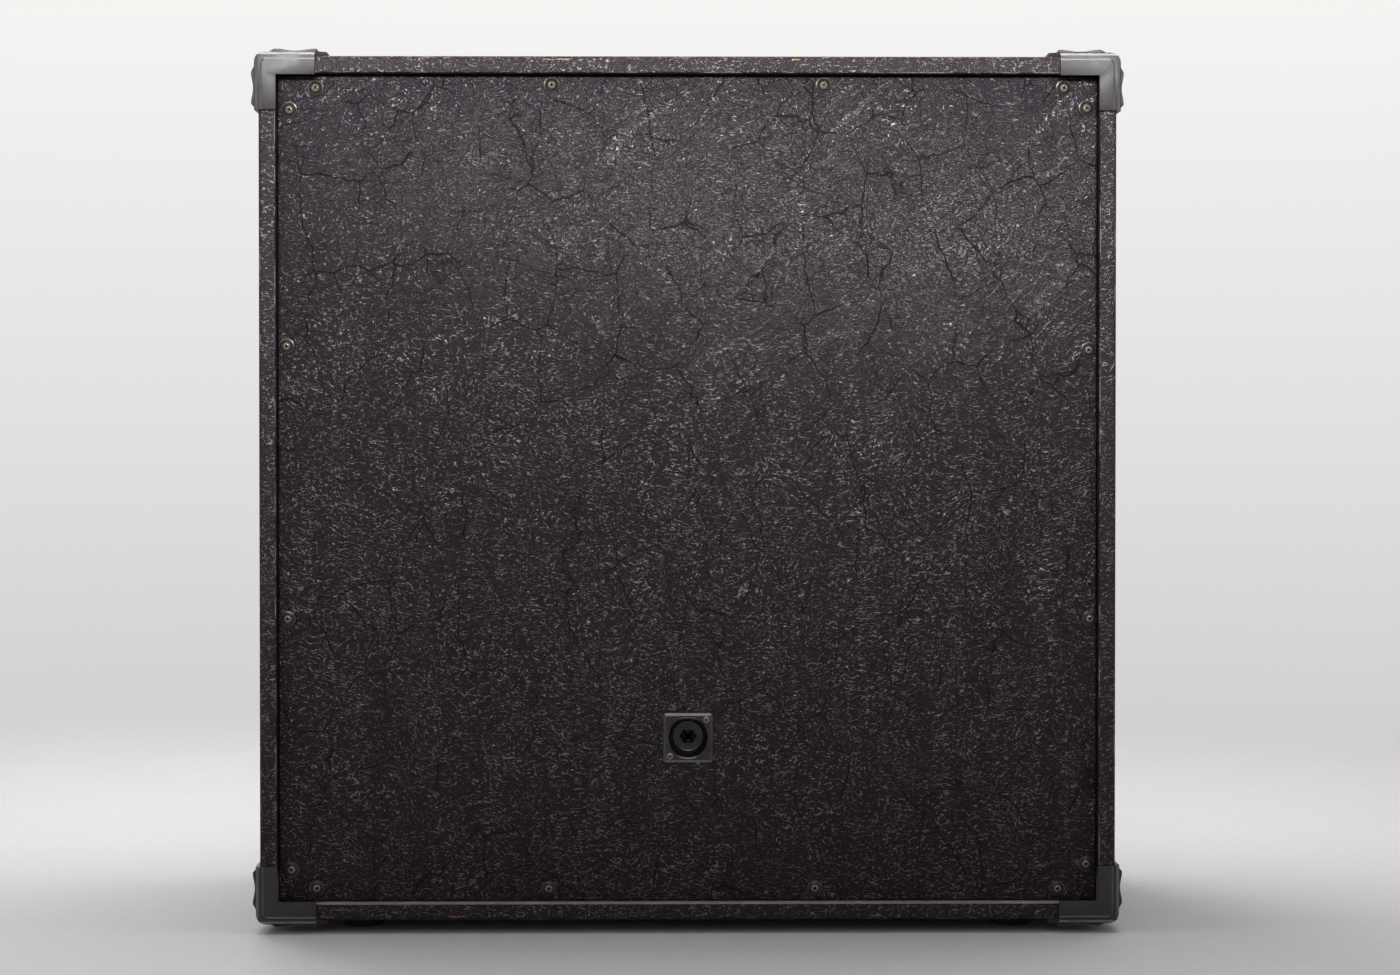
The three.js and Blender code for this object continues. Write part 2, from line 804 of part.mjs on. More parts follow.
// A junction clipped under the centre post, one branch to each driver and one to the socket.
function wiringHarness() {
  const top = -postWidth / 2;
  const middle = top - hubHeight / 2;
  const hub = box(-hubWidth / 2, hubWidth / 2, hubPlace, hubPlace + hubLength, top - hubHeight, top);
  const y = hubPlace + hubLength / 2;
  const reach = driverOffset - (terminalRadius() + skinGap) * Math.SQRT1_2;
  const terminalY = baffleBack + terminalPlace + terminalHeight / 2;
  const branches = driverPlaces().map(([x, z]) => {
    const sx = Math.sign(x);
    const sz = Math.sign(z);
    const side = postWidth / 2 + 2 * wireSag;
    return wire([
      [sx * (hubWidth / 2 - wireRadius), y, middle],
      [sx * side, y, middle - wireSag],
      [sx * (side + reach) / 2, (y + terminalY) / 2, (sz * (reach + side)) / 2],
      [sx * (reach - wireRadius), terminalY, sz * (reach - wireRadius)],
    ]);
  });
  const lugEnd = dishFloorBack - socketLength - lugLength - skinGap;
  const tail = wire([
    [0, y, top - hubHeight + wireRadius],
    [0, y, (top + jackZ) / 2],
    [0, (y + lugEnd) / 2, jackZ + wireSag],
    [socketWidth / 4, lugEnd, jackZ],
  ]);
  add("wiring_harness", joined([hub, ...branches, tail]), "wire");
}

// Recessed handles

function handles() {
  const length = handleCutLength - 2 * handleGap;
  const height = handleCutHeight - 2 * handleGap;
  const round = handleCutRound - handleGap;
  const flangeLength = length + 2 * handleFlange;
  const flangeHeight = height + 2 * handleFlange;
  const flangeShape = roundedRectangle(flangeLength, flangeHeight, round + handleFlange);
  const face = halfWidth + handleFlangeThickness;
  const flange = solidOf(prism(flangeShape, "x", halfWidth, face));
  const floor = halfWidth - handleDepth;
  const bowl = solidOf(prism(roundedRectangle(length, height, round), "x", floor, halfWidth));
  const inner = roundedRectangle(length - 2 * handleWall, height - 2 * handleWall, round - handleWall);
  const mouth = face + overrun + handleFloorRound;
  const hollow = prism(inner, "x", floor + handleWall, mouth, { round: handleFloorRound, steps: softSteps });
  const dish = joined([flange, bowl]).subtract(solidOf(hollow));
  const end = length / 2 - handleWall;
  const grip = turned(
    [
      [0, -end],
      [gripEndRadius, -end],
      [gripRadius, -end / 2],
      [gripRadius, end / 2],
      [gripEndRadius, end],
      [0, end],
    ],
    footSides,
  );
  const gripX = halfWidth - gripInset - gripRadius;
  for (const [side, sign] of [["right", 1], ["left", -1]]) {
    add("handle_dish_" + side, geometryOf(dish), "moulding").scale.x = sign;
    add("handle_grip_" + side, grip.clone(), "moulding").position.set(sign * gripX, 0, gripRaise);
  }
}

// Moulded corners: one solid at the right, top, back corner, mirrored to the others

// Height of the stacking ridge along its length: two crests with a shallow dip between them.
function ridgeProfile(from, to) {
  const points = [];
  const waves = ridgeSteps;
  for (let i = 0; i <= waves; i++) {
    const along = from + ((to - from) * i) / waves;
    const dip = (ridgeDip * (1 - Math.cos((2 * Math.PI * i) / waves))) / 2;
    points.push([along, ridgeHeight - dip]);
  }
  return points;
}

function polygon(points) {
  return new THREE.Shape(points.map(([a, b]) => new THREE.Vector2(a, b)));
}

// The top leaf's outline, inwards from the shell's side and back: as long as the flange at the shell's back
// edge, then stepped back to its full reach, with a round free corner.
function topLeafOutline(x, y, far) {
  const shape = new THREE.Shape();
  const inner = x - cornerTopReach;
  const deep = y - cornerDepthReach;
  const step = y - cornerStepBack;
  shape.moveTo(x + far, y + far);
  shape.lineTo(x - cornerArmReach, y + far);
  shape.lineTo(x - cornerArmReach, step);
  shape.lineTo(inner, step - (cornerTopReach - cornerArmReach) / 2);
  shape.lineTo(inner, deep + cornerFreeRound);
  shape.absarc(inner + cornerFreeRound, deep + cornerFreeRound, cornerFreeRound, Math.PI, 1.5 * Math.PI);
  shape.lineTo(x + far, deep);
  return shape;
}

function sideLeafOutline(y, z, far) {
  const shape = new THREE.Shape();
  const deep = y - cornerDepthReach;
  const low = z - cornerSideReach;
  shape.moveTo(y + far, low);
  shape.lineTo(y + far, z + far);
  shape.lineTo(deep, z + far);
  shape.lineTo(deep, low + cornerFreeRound);
  shape.absarc(deep + cornerFreeRound, low + cornerFreeRound, cornerFreeRound, Math.PI, 1.5 * Math.PI);
  return shape;
}

function flangeOutline(x, z, far) {
  return polygon([
    [x - cornerArmReach, z - cornerArmWidth],
    [x - cornerSideWidth, z - cornerArmWidth],
    [x - cornerSideWidth, z - cornerSideReach],
    [x + far, z - cornerSideReach],
    [x + far, z + far],
    [x - cornerArmReach, z + far],
  ]);
}

// A square outline from an outer corner inwards, with that corner rounded.
function roundedCorner(a, b, reach, radius) {
  const shape = new THREE.Shape();
  shape.moveTo(a, b - reach);
  shape.lineTo(a, b - radius);
  shape.absarc(a - radius, b - radius, radius, 0, Math.PI / 2);
  shape.lineTo(a - reach, b);
  shape.lineTo(a - reach, b - reach);
  return shape;
}

// The rounded moulding, which is common to three extrusions, one along each axis.
function cornerMoulding(x, y, z) {
  const reach = cornerTopReach + overrun;
  const outX = x + cornerWall;
  const outY = y + cornerFlangeThickness;
  const outZ = z + cornerWall;
  const alongX = solidOf(prism(roundedCorner(outY, outZ, reach, cornerEdgeRound), "x", x - reach, outX));
  const facing = roundedCorner(outX, outZ, reach, cornerRound);
  const alongY = solidOf(prism(facing, "y", y - reach, outY, { arcs: arcSteps }));
  const alongZ = solidOf(prism(roundedCorner(outX, outY, reach, cornerEdgeRound), "z", z - reach, outZ));
  return alongX.intersect(alongY).intersect(alongZ);
}

// The stacking ridges over the side and the top leaf, as one outline along the depth.
function cornerRidges(x, y, z) {
  const topEnd = x - cornerTopReach;
  const sideEnd = z - cornerSideReach;
  const topWave = ridgeProfile(x - ridgeStart, topEnd + 1.5 * ridgeSlope);
  const sideWave = ridgeProfile(sideEnd + ridgeSlope, z - ridgeStart);
  const outline = polygon([
    [topEnd, z - cornerWall],
    [x - cornerWall, z - cornerWall],
    [x - cornerWall, sideEnd],
    [x + cornerWall / 2, sideEnd],
    ...sideWave.map(([along, height]) => [x + height, along]),
    [x + cornerWall, z - ridgeStart + ridgeSlope],
    [x, z],
    [x - ridgeStart + ridgeSlope, z + cornerWall],
    ...topWave.map(([along, height]) => [along, z + height]),
  ]);
  return solidOf(prism(outline, "y", y - ridgeDepthReach, y - ridgeBehind, { round: ridgeSoftEdge }));
}

function cornerSolid() {
  const [x, y, z] = [halfWidth, backEdge, halfHeight];
  const far = ridgeHeight + overrun;
  const outlines = joined([
    solidOf(prism(topLeafOutline(x, y, far), "z", z, z + far)),
    solidOf(prism(sideLeafOutline(y, z, far), "x", x, x + far)),
    solidOf(prism(flangeOutline(x, z, far), "y", y, y + far)),
  ]);
  const cabinetBlock = box(-x, x, -y, y, -z, z);
  return joined([cornerMoulding(x, y, z), cornerRidges(x, y, z)]).intersect(outlines).subtract(cabinetBlock);
}

function corners() {
  const geometry = geometryOf(cornerSolid());
  for (const [across, sx] of [["right", 1], ["left", -1]]) {
    for (const [up, sz] of [["top", 1], ["bottom", -1]]) {
      for (const [deep, sy] of [["back", 1], ["front", -1]]) {
        add(["corner", up, deep, across].join("_"), geometry.clone(), "moulding").scale.set(sx, sy, sz);
      }
    }
  }
}

function feet() {
  const shape = turned(
    [
      [0, footRecessDepth - footHeight],
      [footRecessRadius, footRecessDepth - footHeight],
      [footRecessRadius, -footHeight],
      [footRadius, -footHeight],
      [footTopRadius, 0],
      [0, 0],
    ],
    footSides,
  );
  shape.rotateX(Math.PI / 2);
  fitAxis(shape, "z", -footHeight, 0);
  const x = halfWidth - cornerTopReach - footClear - footTopRadius;
  const y = backEdge - cornerDepthReach;
  for (const [across, sx] of [["right", 1], ["left", -1]]) {
    for (const [deep, sy] of [["back", 1], ["front", -1]]) {
      const foot = add(["foot", deep, across].join("_"), shape.clone(), "rubber");
      foot.position.set(sx * x, sy * y, -halfHeight);
    }
  }
}

shellBoards();
vinylCovering();
baffle();
centrePost();
battenFrame();
grille();
backPanel();
panelScrews();
jackPlate();
jackSocket();
drivers();
wiringHarness();
handles();
corners();
feet();

const part = new THREE.Group();
part.add(cabinet);

export default part;
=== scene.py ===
"""Looks of the square speaker cabinet: finer pieces and procedural materials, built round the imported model."""

import math
import random

import bmesh
import bpy
from mathutils import Euler, Matrix, Vector


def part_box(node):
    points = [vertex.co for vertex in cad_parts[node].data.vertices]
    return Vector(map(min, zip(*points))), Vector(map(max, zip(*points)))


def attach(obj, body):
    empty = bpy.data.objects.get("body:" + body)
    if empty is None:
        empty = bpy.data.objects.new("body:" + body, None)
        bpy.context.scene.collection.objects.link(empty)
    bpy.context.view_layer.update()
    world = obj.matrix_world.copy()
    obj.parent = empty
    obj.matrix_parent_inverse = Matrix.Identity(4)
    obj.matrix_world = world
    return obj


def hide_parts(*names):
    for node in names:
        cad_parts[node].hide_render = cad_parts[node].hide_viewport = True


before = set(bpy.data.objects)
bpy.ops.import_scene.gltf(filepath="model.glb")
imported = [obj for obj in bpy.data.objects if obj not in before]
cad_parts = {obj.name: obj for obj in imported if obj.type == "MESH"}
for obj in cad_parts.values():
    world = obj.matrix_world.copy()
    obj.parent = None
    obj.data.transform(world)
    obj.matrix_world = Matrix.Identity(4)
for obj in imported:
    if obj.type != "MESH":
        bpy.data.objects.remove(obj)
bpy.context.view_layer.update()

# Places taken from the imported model, in metres. Pieces are drawn in millimetres and scaled as they are placed.
SHELL_LOW, SHELL_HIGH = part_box("vinyl_covering")
PANEL_LOW, PANEL_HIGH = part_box("back_panel")
CLOTH_LOW, CLOTH_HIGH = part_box("grille_cloth")
MIDDLE = (SHELL_LOW + SHELL_HIGH) / 2
MM = 0.001
WELD, SLIVER = 1e-5, 1e-6
HALF = (SHELL_HIGH - SHELL_LOW) / 2 / MM
CABINET = "cabinet"
TURN = 2 * math.pi
rng = random.Random(11)


# Materials: each call makes one node and gives the output that the next one reads


class Material:
    def __init__(self, name):
        self.data = bpy.data.materials.new(name)
        self.data.use_nodes = True
        self.nodes = self.data.node_tree.nodes
        self.links = self.data.node_tree.links
        self.shader = self.nodes["Principled BSDF"]
        self.place = self.make("TexCoord", output="Object")

    def make(self, kind, inputs=None, output=0, **settings):
        node = self.nodes.new("ShaderNode" + kind)
        for key, value in settings.items():
            setattr(node, key, value)
        for key, value in (inputs or {}).items():
            self.feed(node.inputs[key], value)
        return node.outputs[output]

    def feed(self, socket, value):
        if isinstance(value, bpy.types.NodeSocket):
            self.links.new(value, socket)
        elif socket.type == "RGBA":
            socket.default_value = (*value[:3], 1)
        else:
            socket.default_value = value

    def set(self, **values):
        for key, value in values.items():
            self.feed(self.shader.inputs[key.replace("_", " ")], value)
        return self

    def math(self, operation, a, b=0.0, clamp=False):
        return self.make("Math", {0: a, 1: b}, operation=operation, use_clamp=clamp)

    def total(self, *terms):
        whole = terms[0]
        for term in terms[1:]:
            whole = self.math("ADD", whole, term)
        return whole

    def times(self, *terms):
        whole = terms[0]
        for term in terms[1:]:
            whole = self.math("MULTIPLY", whole, term)
        return whole

    def span(self, value, low, high, out_low=0.0, out_high=1.0):
        inputs = {"Value": value, "From Min": low, "From Max": high, "To Min": out_low, "To Max": out_high}
        return self.make("MapRange", inputs, interpolation_type="SMOOTHSTEP")

    def noise(self, scale, detail=2.0, roughness=0.5, distortion=0.0, vector=None, output="Fac"):
        inputs = {"Vector": vector or self.place, "Scale": scale, "Detail": detail, "Roughness": roughness,
                  "Distortion": distortion}
        return self.make("TexNoise", inputs, output)

    def cells(self, scale, vector=None, feature="DISTANCE_TO_EDGE", output="Distance"):
        return self.make("TexVoronoi", {"Vector": vector or self.place, "Scale": scale}, output, feature=feature)

    def stretched(self, x, y, z, vector=None, turn=(0, 0, 0)):
        return self.make("Mapping", {"Vector": vector or self.place, "Scale": (x, y, z), "Rotation": turn})

    def warped(self, amount, scale, vector=None):
        base = vector or self.place
        push = self.noise(scale, vector=base, output="Color")
        centred = self.make("VectorMath", {0: push, 1: (0.5, 0.5, 0.5)}, operation="SUBTRACT")
        moved = self.make("VectorMath", {0: centred, "Scale": amount}, operation="SCALE")
        return self.make("VectorMath", {0: base, 1: moved}, operation="ADD")

    def mixed(self, share, first, second):
        return self.make("Mix", {0: share, 6: first, 7: second}, 2, data_type="RGBA")

    def part(self, axis, vector=None):
        return self.make("SeparateXYZ", {"Vector": vector or self.place}, axis)

    def bump(self, height, distance, strength=1.0):
        return self.make("Bump", {"Height": height, "Distance": distance, "Strength": strength}, "Normal")

    def strands(self, scale, sharpness, vector, detail=1.0):
        """Ridges that wander like the fine grain of leathercloth, from 0 to 1."""
        value = self.noise(scale, detail, 0.5, 0.0, vector)
        away = self.math("ABSOLUTE", self.math("SUBTRACT", value, 0.5))
        return self.math("SUBTRACT", 1.0, self.times(away, sharpness), clamp=True)

    def slants(self):
        """Faces that lean halfway between the back or front and another side, from 0 to 1."""
        facing = self.make("NewGeometry", output="True Normal")
        deep, up, across = (self.math("ABSOLUTE", self.part(axis, facing)) for axis in (1, 2, 0))
        level = self.span(self.times(deep, up), 0.43, 0.48)
        return self.math("MAXIMUM", level, self.times(self.span(self.times(deep, across), 0.43, 0.48), 0.3))


def vinyl(name, base, painted_glint, relief, cracks, rough, wear_and_highlight=None):
    """Black grained leathercloth: short curved strands in patches, crossed by a broken net of fine cracks.
    The strands are painted lighter as painted glints, the cracks near-black as painted shade, and the upper
    creases lighter as painted highlights. The last argument takes the material and gives the share of pale
    colour at each place: bare backing where the covering wears through, and a painted highlight on the bottom ledge."""
    m = Material(name)
    bent = m.warped(0.045, 12)
    rippled = m.warped(0.0015, 240, bent)
    fine = m.strands(430, 12.0, m.stretched(0.6, 0.6, 1.0, rippled))
    coarse = m.strands(270, 14.0, m.stretched(0.5, 0.5, 1.0, rippled))
    patch = m.span(m.noise(60, 3, 0.65), 0.4, 0.6, 0.94, 1.0)
    column = m.span(m.noise(1, 2, 0.5, 0.0, m.stretched(62, 62, 9)), 0.34, 0.62, 0.82, 1.0)
    wandering = m.warped(0.003, 130, m.warped(0.016, 30))
    net = m.span(m.cells(21, m.stretched(1.0, 1.0, 0.7, wandering, (0, 0.2, 0))), 0.013, 0.0)
    small_net = m.span(m.cells(50, m.stretched(0.8, 0.8, 1.0, wandering, (0, -0.25, 0))), 0.018, 0.0)
    broken = m.span(m.noise(23, 3), 0.42, 0.55)
    elsewhere = m.span(m.noise(24, 2, 0.5, 0.0, m.stretched(1, 1, 0.6)), 0.46, 0.58)
    # The crack net: grooves in the bump, and painted shade in the colour.
    cracks_and_painted_shade = m.times(m.total(m.times(net, broken), m.times(small_net, elsewhere, 0.6)), cracks)
    # Light diagonal creases, only above about half a metre: cut into the bump, and painted lighter in the tone as
    # painted highlights.
    leaning = m.stretched(1.0, 1.0, 1.0, m.warped(0.02, 9), (0, 0.85, 0))
    slanting = m.strands(52, 26.0, m.stretched(1.0, 1.0, 0.16, leaning))
    creases = m.times(slanting, m.span(m.noise(7, 2), 0.46, 0.6), m.span(m.part(2), 0.4, 0.6), cracks)
    grain = m.times(m.total(m.times(fine, 0.7), m.times(coarse, 0.6)), patch, column)
    height = m.total(grain, m.times(cracks_and_painted_shade, -0.8), m.times(creases, 0.5))
    slow = m.noise(6, 3)
    # Painted glints: where the strands stand high, in patches and in vertical columns, the colour is painted lighter.
    # The cracks take it down as painted shade, and the creases up as painted highlights.
    tone = m.span(m.total(grain, m.times(cracks_and_painted_shade, -0.6), m.times(creases, 0.28)), 0.4, 1.1)
    # Shaded and lit copies of the base colour: the one between the strands, and the painted glints on them.
    dark = [channel * 0.8 for channel in base]
    light = [channel * 1.6 + painted_glint for channel in base]
    # Painted shade: the cracks are darkened towards near-black.
    colour = m.mixed(m.times(cracks_and_painted_shade, 0.6), m.mixed(tone, dark, light), (0.002, 0.0015, 0.002))
    if wear_and_highlight:
        # Pale colour: bare backing where the covering wears through, and the painted highlight on the bottom ledge.
        colour = m.mixed(wear_and_highlight(m), colour, (0.36, 0.31, 0.27))
    m.set(Base_Color=colour, Roughness=m.span(slow, 0.3, 0.7, rough - 0.01, rough + 0.03))
    m.set(Specular_IOR_Level=m.span(tone, 0.0, 0.7, 0.09, 0.95), Normal=m.bump(height, 0.0005, relief))
    return m


def edge_wear_and_ledge_highlight(m):
    """Wear along the inner and outer edges of the shell's lip, and a painted highlight over the inside of its bottom,
    where the ledge faces up to the light.
    """
    across = m.math("SUBTRACT", SHELL_HIGH.x, m.math("ABSOLUTE", m.part(0)))
    up = m.math("SUBTRACT", HALF.z * MM, m.math("ABSOLUTE", m.math("SUBTRACT", m.part(2), MIDDLE.z)))
    inset = m.math("MINIMUM", across, up)
    reach = m.math("ABSOLUTE", m.part(1))
    at_edge = m.span(reach, SHELL_HIGH.y - 0.002, SHELL_HIGH.y - 0.0008)
    inner = m.span(inset, 0.0139, 0.0147)
    outer = m.times(m.span(inset, 0.0022, 0.0012), m.span(reach, SHELL_HIGH.y - 0.0032, SHELL_HIGH.y - 0.0018))
    rub_and_highlight = m.span(m.noise(30, 5, 0.7), 0.46, 0.62)
    scraped = m.span(m.noise(26, 5, 0.75), 0.56, 0.66)
    # Painted highlight: a lighter band over the inner lip below about 5 cm, where the bottom ledge faces up.
    low = m.times(inner, m.span(m.part(2), 0.06, 0.04), m.span(rub_and_highlight, 0.0, 1.0, 0.75, 1.0))
    edge = m.math("MAXIMUM", m.times(inner, at_edge, rub_and_highlight, 0.6), low)
    return m.total(edge, m.times(outer, scraped, 0.35))


def moulding(name, base, rough, grain=1.0, shine=0.5):
    """Satin black moulded plastic with a fine spark-eroded texture and light scuffs, and a painted highlight on the
    faces that lean at 45 degrees, most on those that face up or down.
    """
    m = Material(name)
    speckle = m.noise(900, 2)
    slow = m.noise(40, 3)
    scuffs = m.span(m.noise(120, 4, 0.7, 2.0, m.stretched(1, 0.25, 1)), 0.63, 0.75)
    tone = m.total(m.times(slow, 0.7), m.times(speckle, 0.3))
    body = m.mixed(m.span(tone, 0.3, 0.7), [c * 0.8 for c in base], [c * 1.2 for c in base])
    # Painted highlight: faces leaning at 45 degrees, above all those facing up or down, painted lighter in blotches.
    rub_and_highlight = m.times(m.slants(), m.span(slow, 0.3, 0.6, 0.6, 1.0))
    scuffed = m.mixed(m.times(scuffs, 0.35), body, [c * 2.2 + 0.02 for c in base])
    # The last colour mixed in is the painted highlight's.
    m.set(Base_Color=m.mixed(rub_and_highlight, scuffed, [c * 4 + 0.16 for c in base]))
    m.set(Roughness=m.span(slow, 0.3, 0.7, rough - 0.06, rough + 0.08), Specular_IOR_Level=shine)
    m.set(Normal=m.bump(m.total(m.times(speckle, grain), m.times(slow, 0.6)), 0.00012, 0.8))
    return m


def metal(name, base, rough, stain, stained=0.4):
    """Plated steel, dulled in blotches and finely scratched, with painted shade in its recesses."""
    m = Material(name)
    blotch = m.span(m.noise(260, 4, 0.6), 0.42, 0.68)
    scratches = m.noise(700, 2, 0.5, 0, m.stretched(1, 1, 0.08))
    # Painted shade: the concave places, such as the bottoms of the cross recesses and wells, are painted near-black
    # and lose their gloss.
    hollow_shade = m.span(m.make("NewGeometry", output="Pointiness"), 0.5, 0.46)
    m.set(Base_Color=m.mixed(hollow_shade, m.mixed(m.times(blotch, stained), base, stain), (0.004, 0.003, 0.003)))
    m.set(Metallic=0.6, Specular_IOR_Level=m.span(hollow_shade, 0.0, 1.0, 0.5, 0.0))
    m.set(Roughness=m.span(m.total(blotch, scratches), 0.4, 1.6, rough - 0.08, rough + 0.2))
    m.set(Normal=m.bump(scratches, 0.00005, 0.6))
    return m


def painted(name, base, rough):
    """Sprayed enamel with a slight orange peel and some dust."""
    m = Material(name)
    orange_peel = m.noise(420, 2)
    dust = m.span(m.noise(35, 4), 0.45, 0.75)
    m.set(Base_Color=m.mixed(m.times(dust, 0.4), base, [c + 0.05 for c in base]))
    m.set(Roughness=m.span(dust, 0.0, 1.0, rough, rough + 0.25), Normal=m.bump(orange_peel, 0.00008, 0.7))
    return m


def rubber(name, base):
    """Matt rubber with fine pits and dust."""
    m = Material(name)
    pits = m.noise(650, 3, 0.6)
    dust = m.span(m.noise(70, 4), 0.4, 0.7)
    m.set(Base_Color=m.mixed(m.times(dust, 0.5), base, [c + 0.035 for c in base]))
    m.set(Roughness=m.span(dust, 0.0, 1.0, 0.68, 0.92), Normal=m.bump(pits, 0.0002, 0.8))
    return m


def plywood(name, across):
    """Birch plywood: long grain on the faces, and plies that show where a board's edge is cut.
    across is the board's thin axis."""
    m = Material(name)
    scales = [14.0, 14.0, 14.0]
    scales[(across + 1) % 3 if across != 2 else 0] = 1.2
    grain = m.noise(9, 5, 0.65, 0.5, m.stretched(*scales))
    pores = m.noise(120, 2, 0.5, 0, m.stretched(*[s / 14 for s in scales]))
    plies = m.math("SINE", m.times(m.part(across), TURN / 0.0032))
    facing = m.math("ABSOLUTE", m.part(across, m.make("NewGeometry", output="True Normal")))
    edge = m.span(facing, 0.6, 0.3)
    tone = m.total(m.times(grain, 0.75), m.times(pores, 0.3), m.times(plies, edge, 0.22))
    m.set(Base_Color=m.mixed(m.span(tone, 0.25, 0.85), (0.24, 0.155, 0.08), (0.5, 0.37, 0.23)))
    m.set(Roughness=m.span(grain, 0.3, 0.7, 0.6, 0.78))
    m.set(Normal=m.bump(m.total(pores, m.times(plies, edge, 0.4)), 0.0002, 0.7))
    return m


def paper(name, base):
    """Pressed cone paper with fibres."""
    m = Material(name)
    fibres = m.noise(380, 4, 0.7, 1.2)
    m.set(Base_Color=m.mixed(fibres, [c * 0.6 for c in base], [c * 1.6 for c in base]))
    m.set(Roughness=m.span(fibres, 0.3, 0.7, 0.8, 0.95), Normal=m.bump(fibres, 0.0004, 0.8))
    return m


def cloth(name, base):
    """Woven grille cloth: warp and weft threads that pass over and under, with pale flecks in the weft."""
    m = Material(name)
    pitch = TURN / 0.0016
    wander = m.warped(0.0004, 300)
    warp = m.math("SINE", m.times(m.part(0, wander), pitch))
    weft = m.math("SINE", m.times(m.part(2, wander), pitch))
    weave = m.math("MULTIPLY", warp, weft)
    threads = m.total(m.math("ABSOLUTE", warp), m.math("ABSOLUTE", weft), m.times(weave, 0.6))
    flecks = m.span(m.noise(300, 3, 0.6, 0, m.stretched(0.3, 1, 1)), 0.55, 0.66)
    slubs = m.span(m.noise(90, 3, 0.6, 0, m.stretched(0.12, 1, 1)), 0.5, 0.7)
    ribs = m.span(m.noise(90, 3, 0.6, 0, m.stretched(1, 1, 0.1)), 0.5, 0.7)
    slow = m.noise(6, 3)
    dark = m.mixed(m.span(threads, 0.4, 1.8), [c * 0.3 for c in base], [c * 1.3 for c in base])
    streaked = m.mixed(m.times(m.total(slubs, ribs), 0.3), dark, [c * 3 for c in base])
    lit = m.mixed(m.times(flecks, 0.6), streaked, (0.2, 0.195, 0.185))
    m.set(Base_Color=m.mixed(m.times(slow, 0.2), lit, [c * 1.8 for c in base]))
    m.set(Roughness=m.span(slow, 0.3, 0.7, 0.82, 0.95), Sheen_Weight=0.1, Normal=m.bump(threads, 0.0004, 0.9))
    return m


def insulation(name, base):
    """The soft plastic of a wire, a little uneven from handling."""
    m = Material(name)
    handled = m.noise(150, 3)
    m.set(Base_Color=m.mixed(handled, [c * 0.7 for c in base], [c * 1.2 for c in base]))
    m.set(Roughness=m.span(handled, 0.3, 0.7, 0.38, 0.55), Normal=m.bump(handled, 0.0002, 0.5))
    return m


SHELL_VINYL = vinyl("shell_vinyl", (0.03, 0.0215, 0.0275), 0.03, 0.55, 0.35, 0.4, edge_wear_and_ledge_highlight)
PANEL_VINYL = vinyl("panel_vinyl", (0.0255, 0.0178, 0.0233), 0.045, 1.0, 1.0, 0.23)
CORNER = moulding("corner_moulding", (0.027, 0.0235, 0.0255), 0.42, 0.5, 0.42)
DISH = moulding("handle_moulding", (0.035, 0.034, 0.036), 0.5, 1.6)
GRIP = moulding("grip_moulding", (0.03, 0.03, 0.031), 0.45, 2.0)
PLATE = moulding("plate_moulding", (0.01, 0.008, 0.0095), 0.27, 0.6, 0.5)
RUBBER = rubber("foot_rubber", (0.018, 0.018, 0.018))
STEEL = metal("screw_steel", (0.24, 0.205, 0.165), 0.4, (0.09, 0.07, 0.055))
WASHER = metal("washer_steel", (0.06, 0.053, 0.054), 0.32, (0.02, 0.017, 0.018), 0.7)
NICKEL = metal("jack_nickel", (0.035, 0.032, 0.03), 0.35, (0.02, 0.018, 0.016))
BASKET = painted("basket_enamel", (0.03, 0.03, 0.033), 0.35)
FERRITE = painted("magnet_ferrite", (0.06, 0.06, 0.065), 0.5)
CONE = paper("cone_paper", (0.05, 0.045, 0.04))
CLOTH = cloth("grille_cloth", (0.024, 0.0235, 0.025))
WIRE = insulation("wire_insulation", (0.25, 0.03, 0.03))
WOOD = [plywood("plywood_" + axis, index) for index, axis in enumerate("xyz")]
# Black moulding for the jack, made darker than plastic: painted shade, so that the nut deep in the dish reads as
# shaded.
JACK_SHADE_BLACK = moulding("jack_inside", (0.004, 0.003, 0.0035), 0.6, 1.0, 0.08)


# Shapes


def lofted(loops, ring=False, caps=False):
    """Faces between loops of points. A loop of one point closes its end, a cap closes an open end, and a ring
    joins the last loop to the first."""
    bm = bmesh.new()
    rows = [[bm.verts.new(point) for point in loop] for loop in loops]
    for a, b in list(zip(rows, rows[1:])) + ([(rows[-1], rows[0])] if ring else []):
        count = max(len(a), len(b))
        for i in range(count):
            j = (i + 1) % count
            corners = [a[i % len(a)], a[j % len(a)], b[j % len(b)], b[i % len(b)]]
            bm.faces.new(list(dict.fromkeys(corners)))
    if caps:
        bm.faces.new(reversed(rows[0]))
        bm.faces.new(rows[-1])
    return bm


def circle(radius, place, sides=48):
    """Points round the depth axis at a place along it, or one point where the radius is 0."""
    if radius == 0:
        return [(0, place, 0)]
    reach = radius if callable(radius) else lambda angle: radius
    angles = [TURN * i / sides for i in range(sides)]
    return [(reach(a) * math.cos(a), place, reach(a) * math.sin(a)) for a in angles]


def turned(profile, sides=48, ring=False):
    """A profile of (radius, place) points carried round the depth axis."""
    return lofted([circle(radius, place, sides) for radius, place in profile], ring)


def disc(radius, sides, a=0.0, b=0.0):
    """A circle's points round (a, b)."""
    return [(a + radius * math.cos(TURN * i / sides), b + radius * math.sin(TURN * i / sides)) for i in range(sides)]


def quarter(steps):
    """A quarter turn as (sine, cosine) pairs, from (0, 1) to (1, 0)."""
    return [(math.sin(TURN / 4 * i / steps), math.cos(TURN / 4 * i / steps)) for i in range(steps + 1)]


def rounded(width, height, radius, steps=8):
    """A rounded rectangle round the origin, as (across, up) points."""
    points = []
    for corner, (sx, sy) in enumerate(((1, 1), (-1, 1), (-1, -1), (1, -1))):
        for i in range(steps + 1):
            angle = TURN / 4 * (corner + i / steps)
            points.append((sx * (width / 2 - radius) + radius * math.cos(angle),
                           sy * (height / 2 - radius) + radius * math.sin(angle)))
    return points


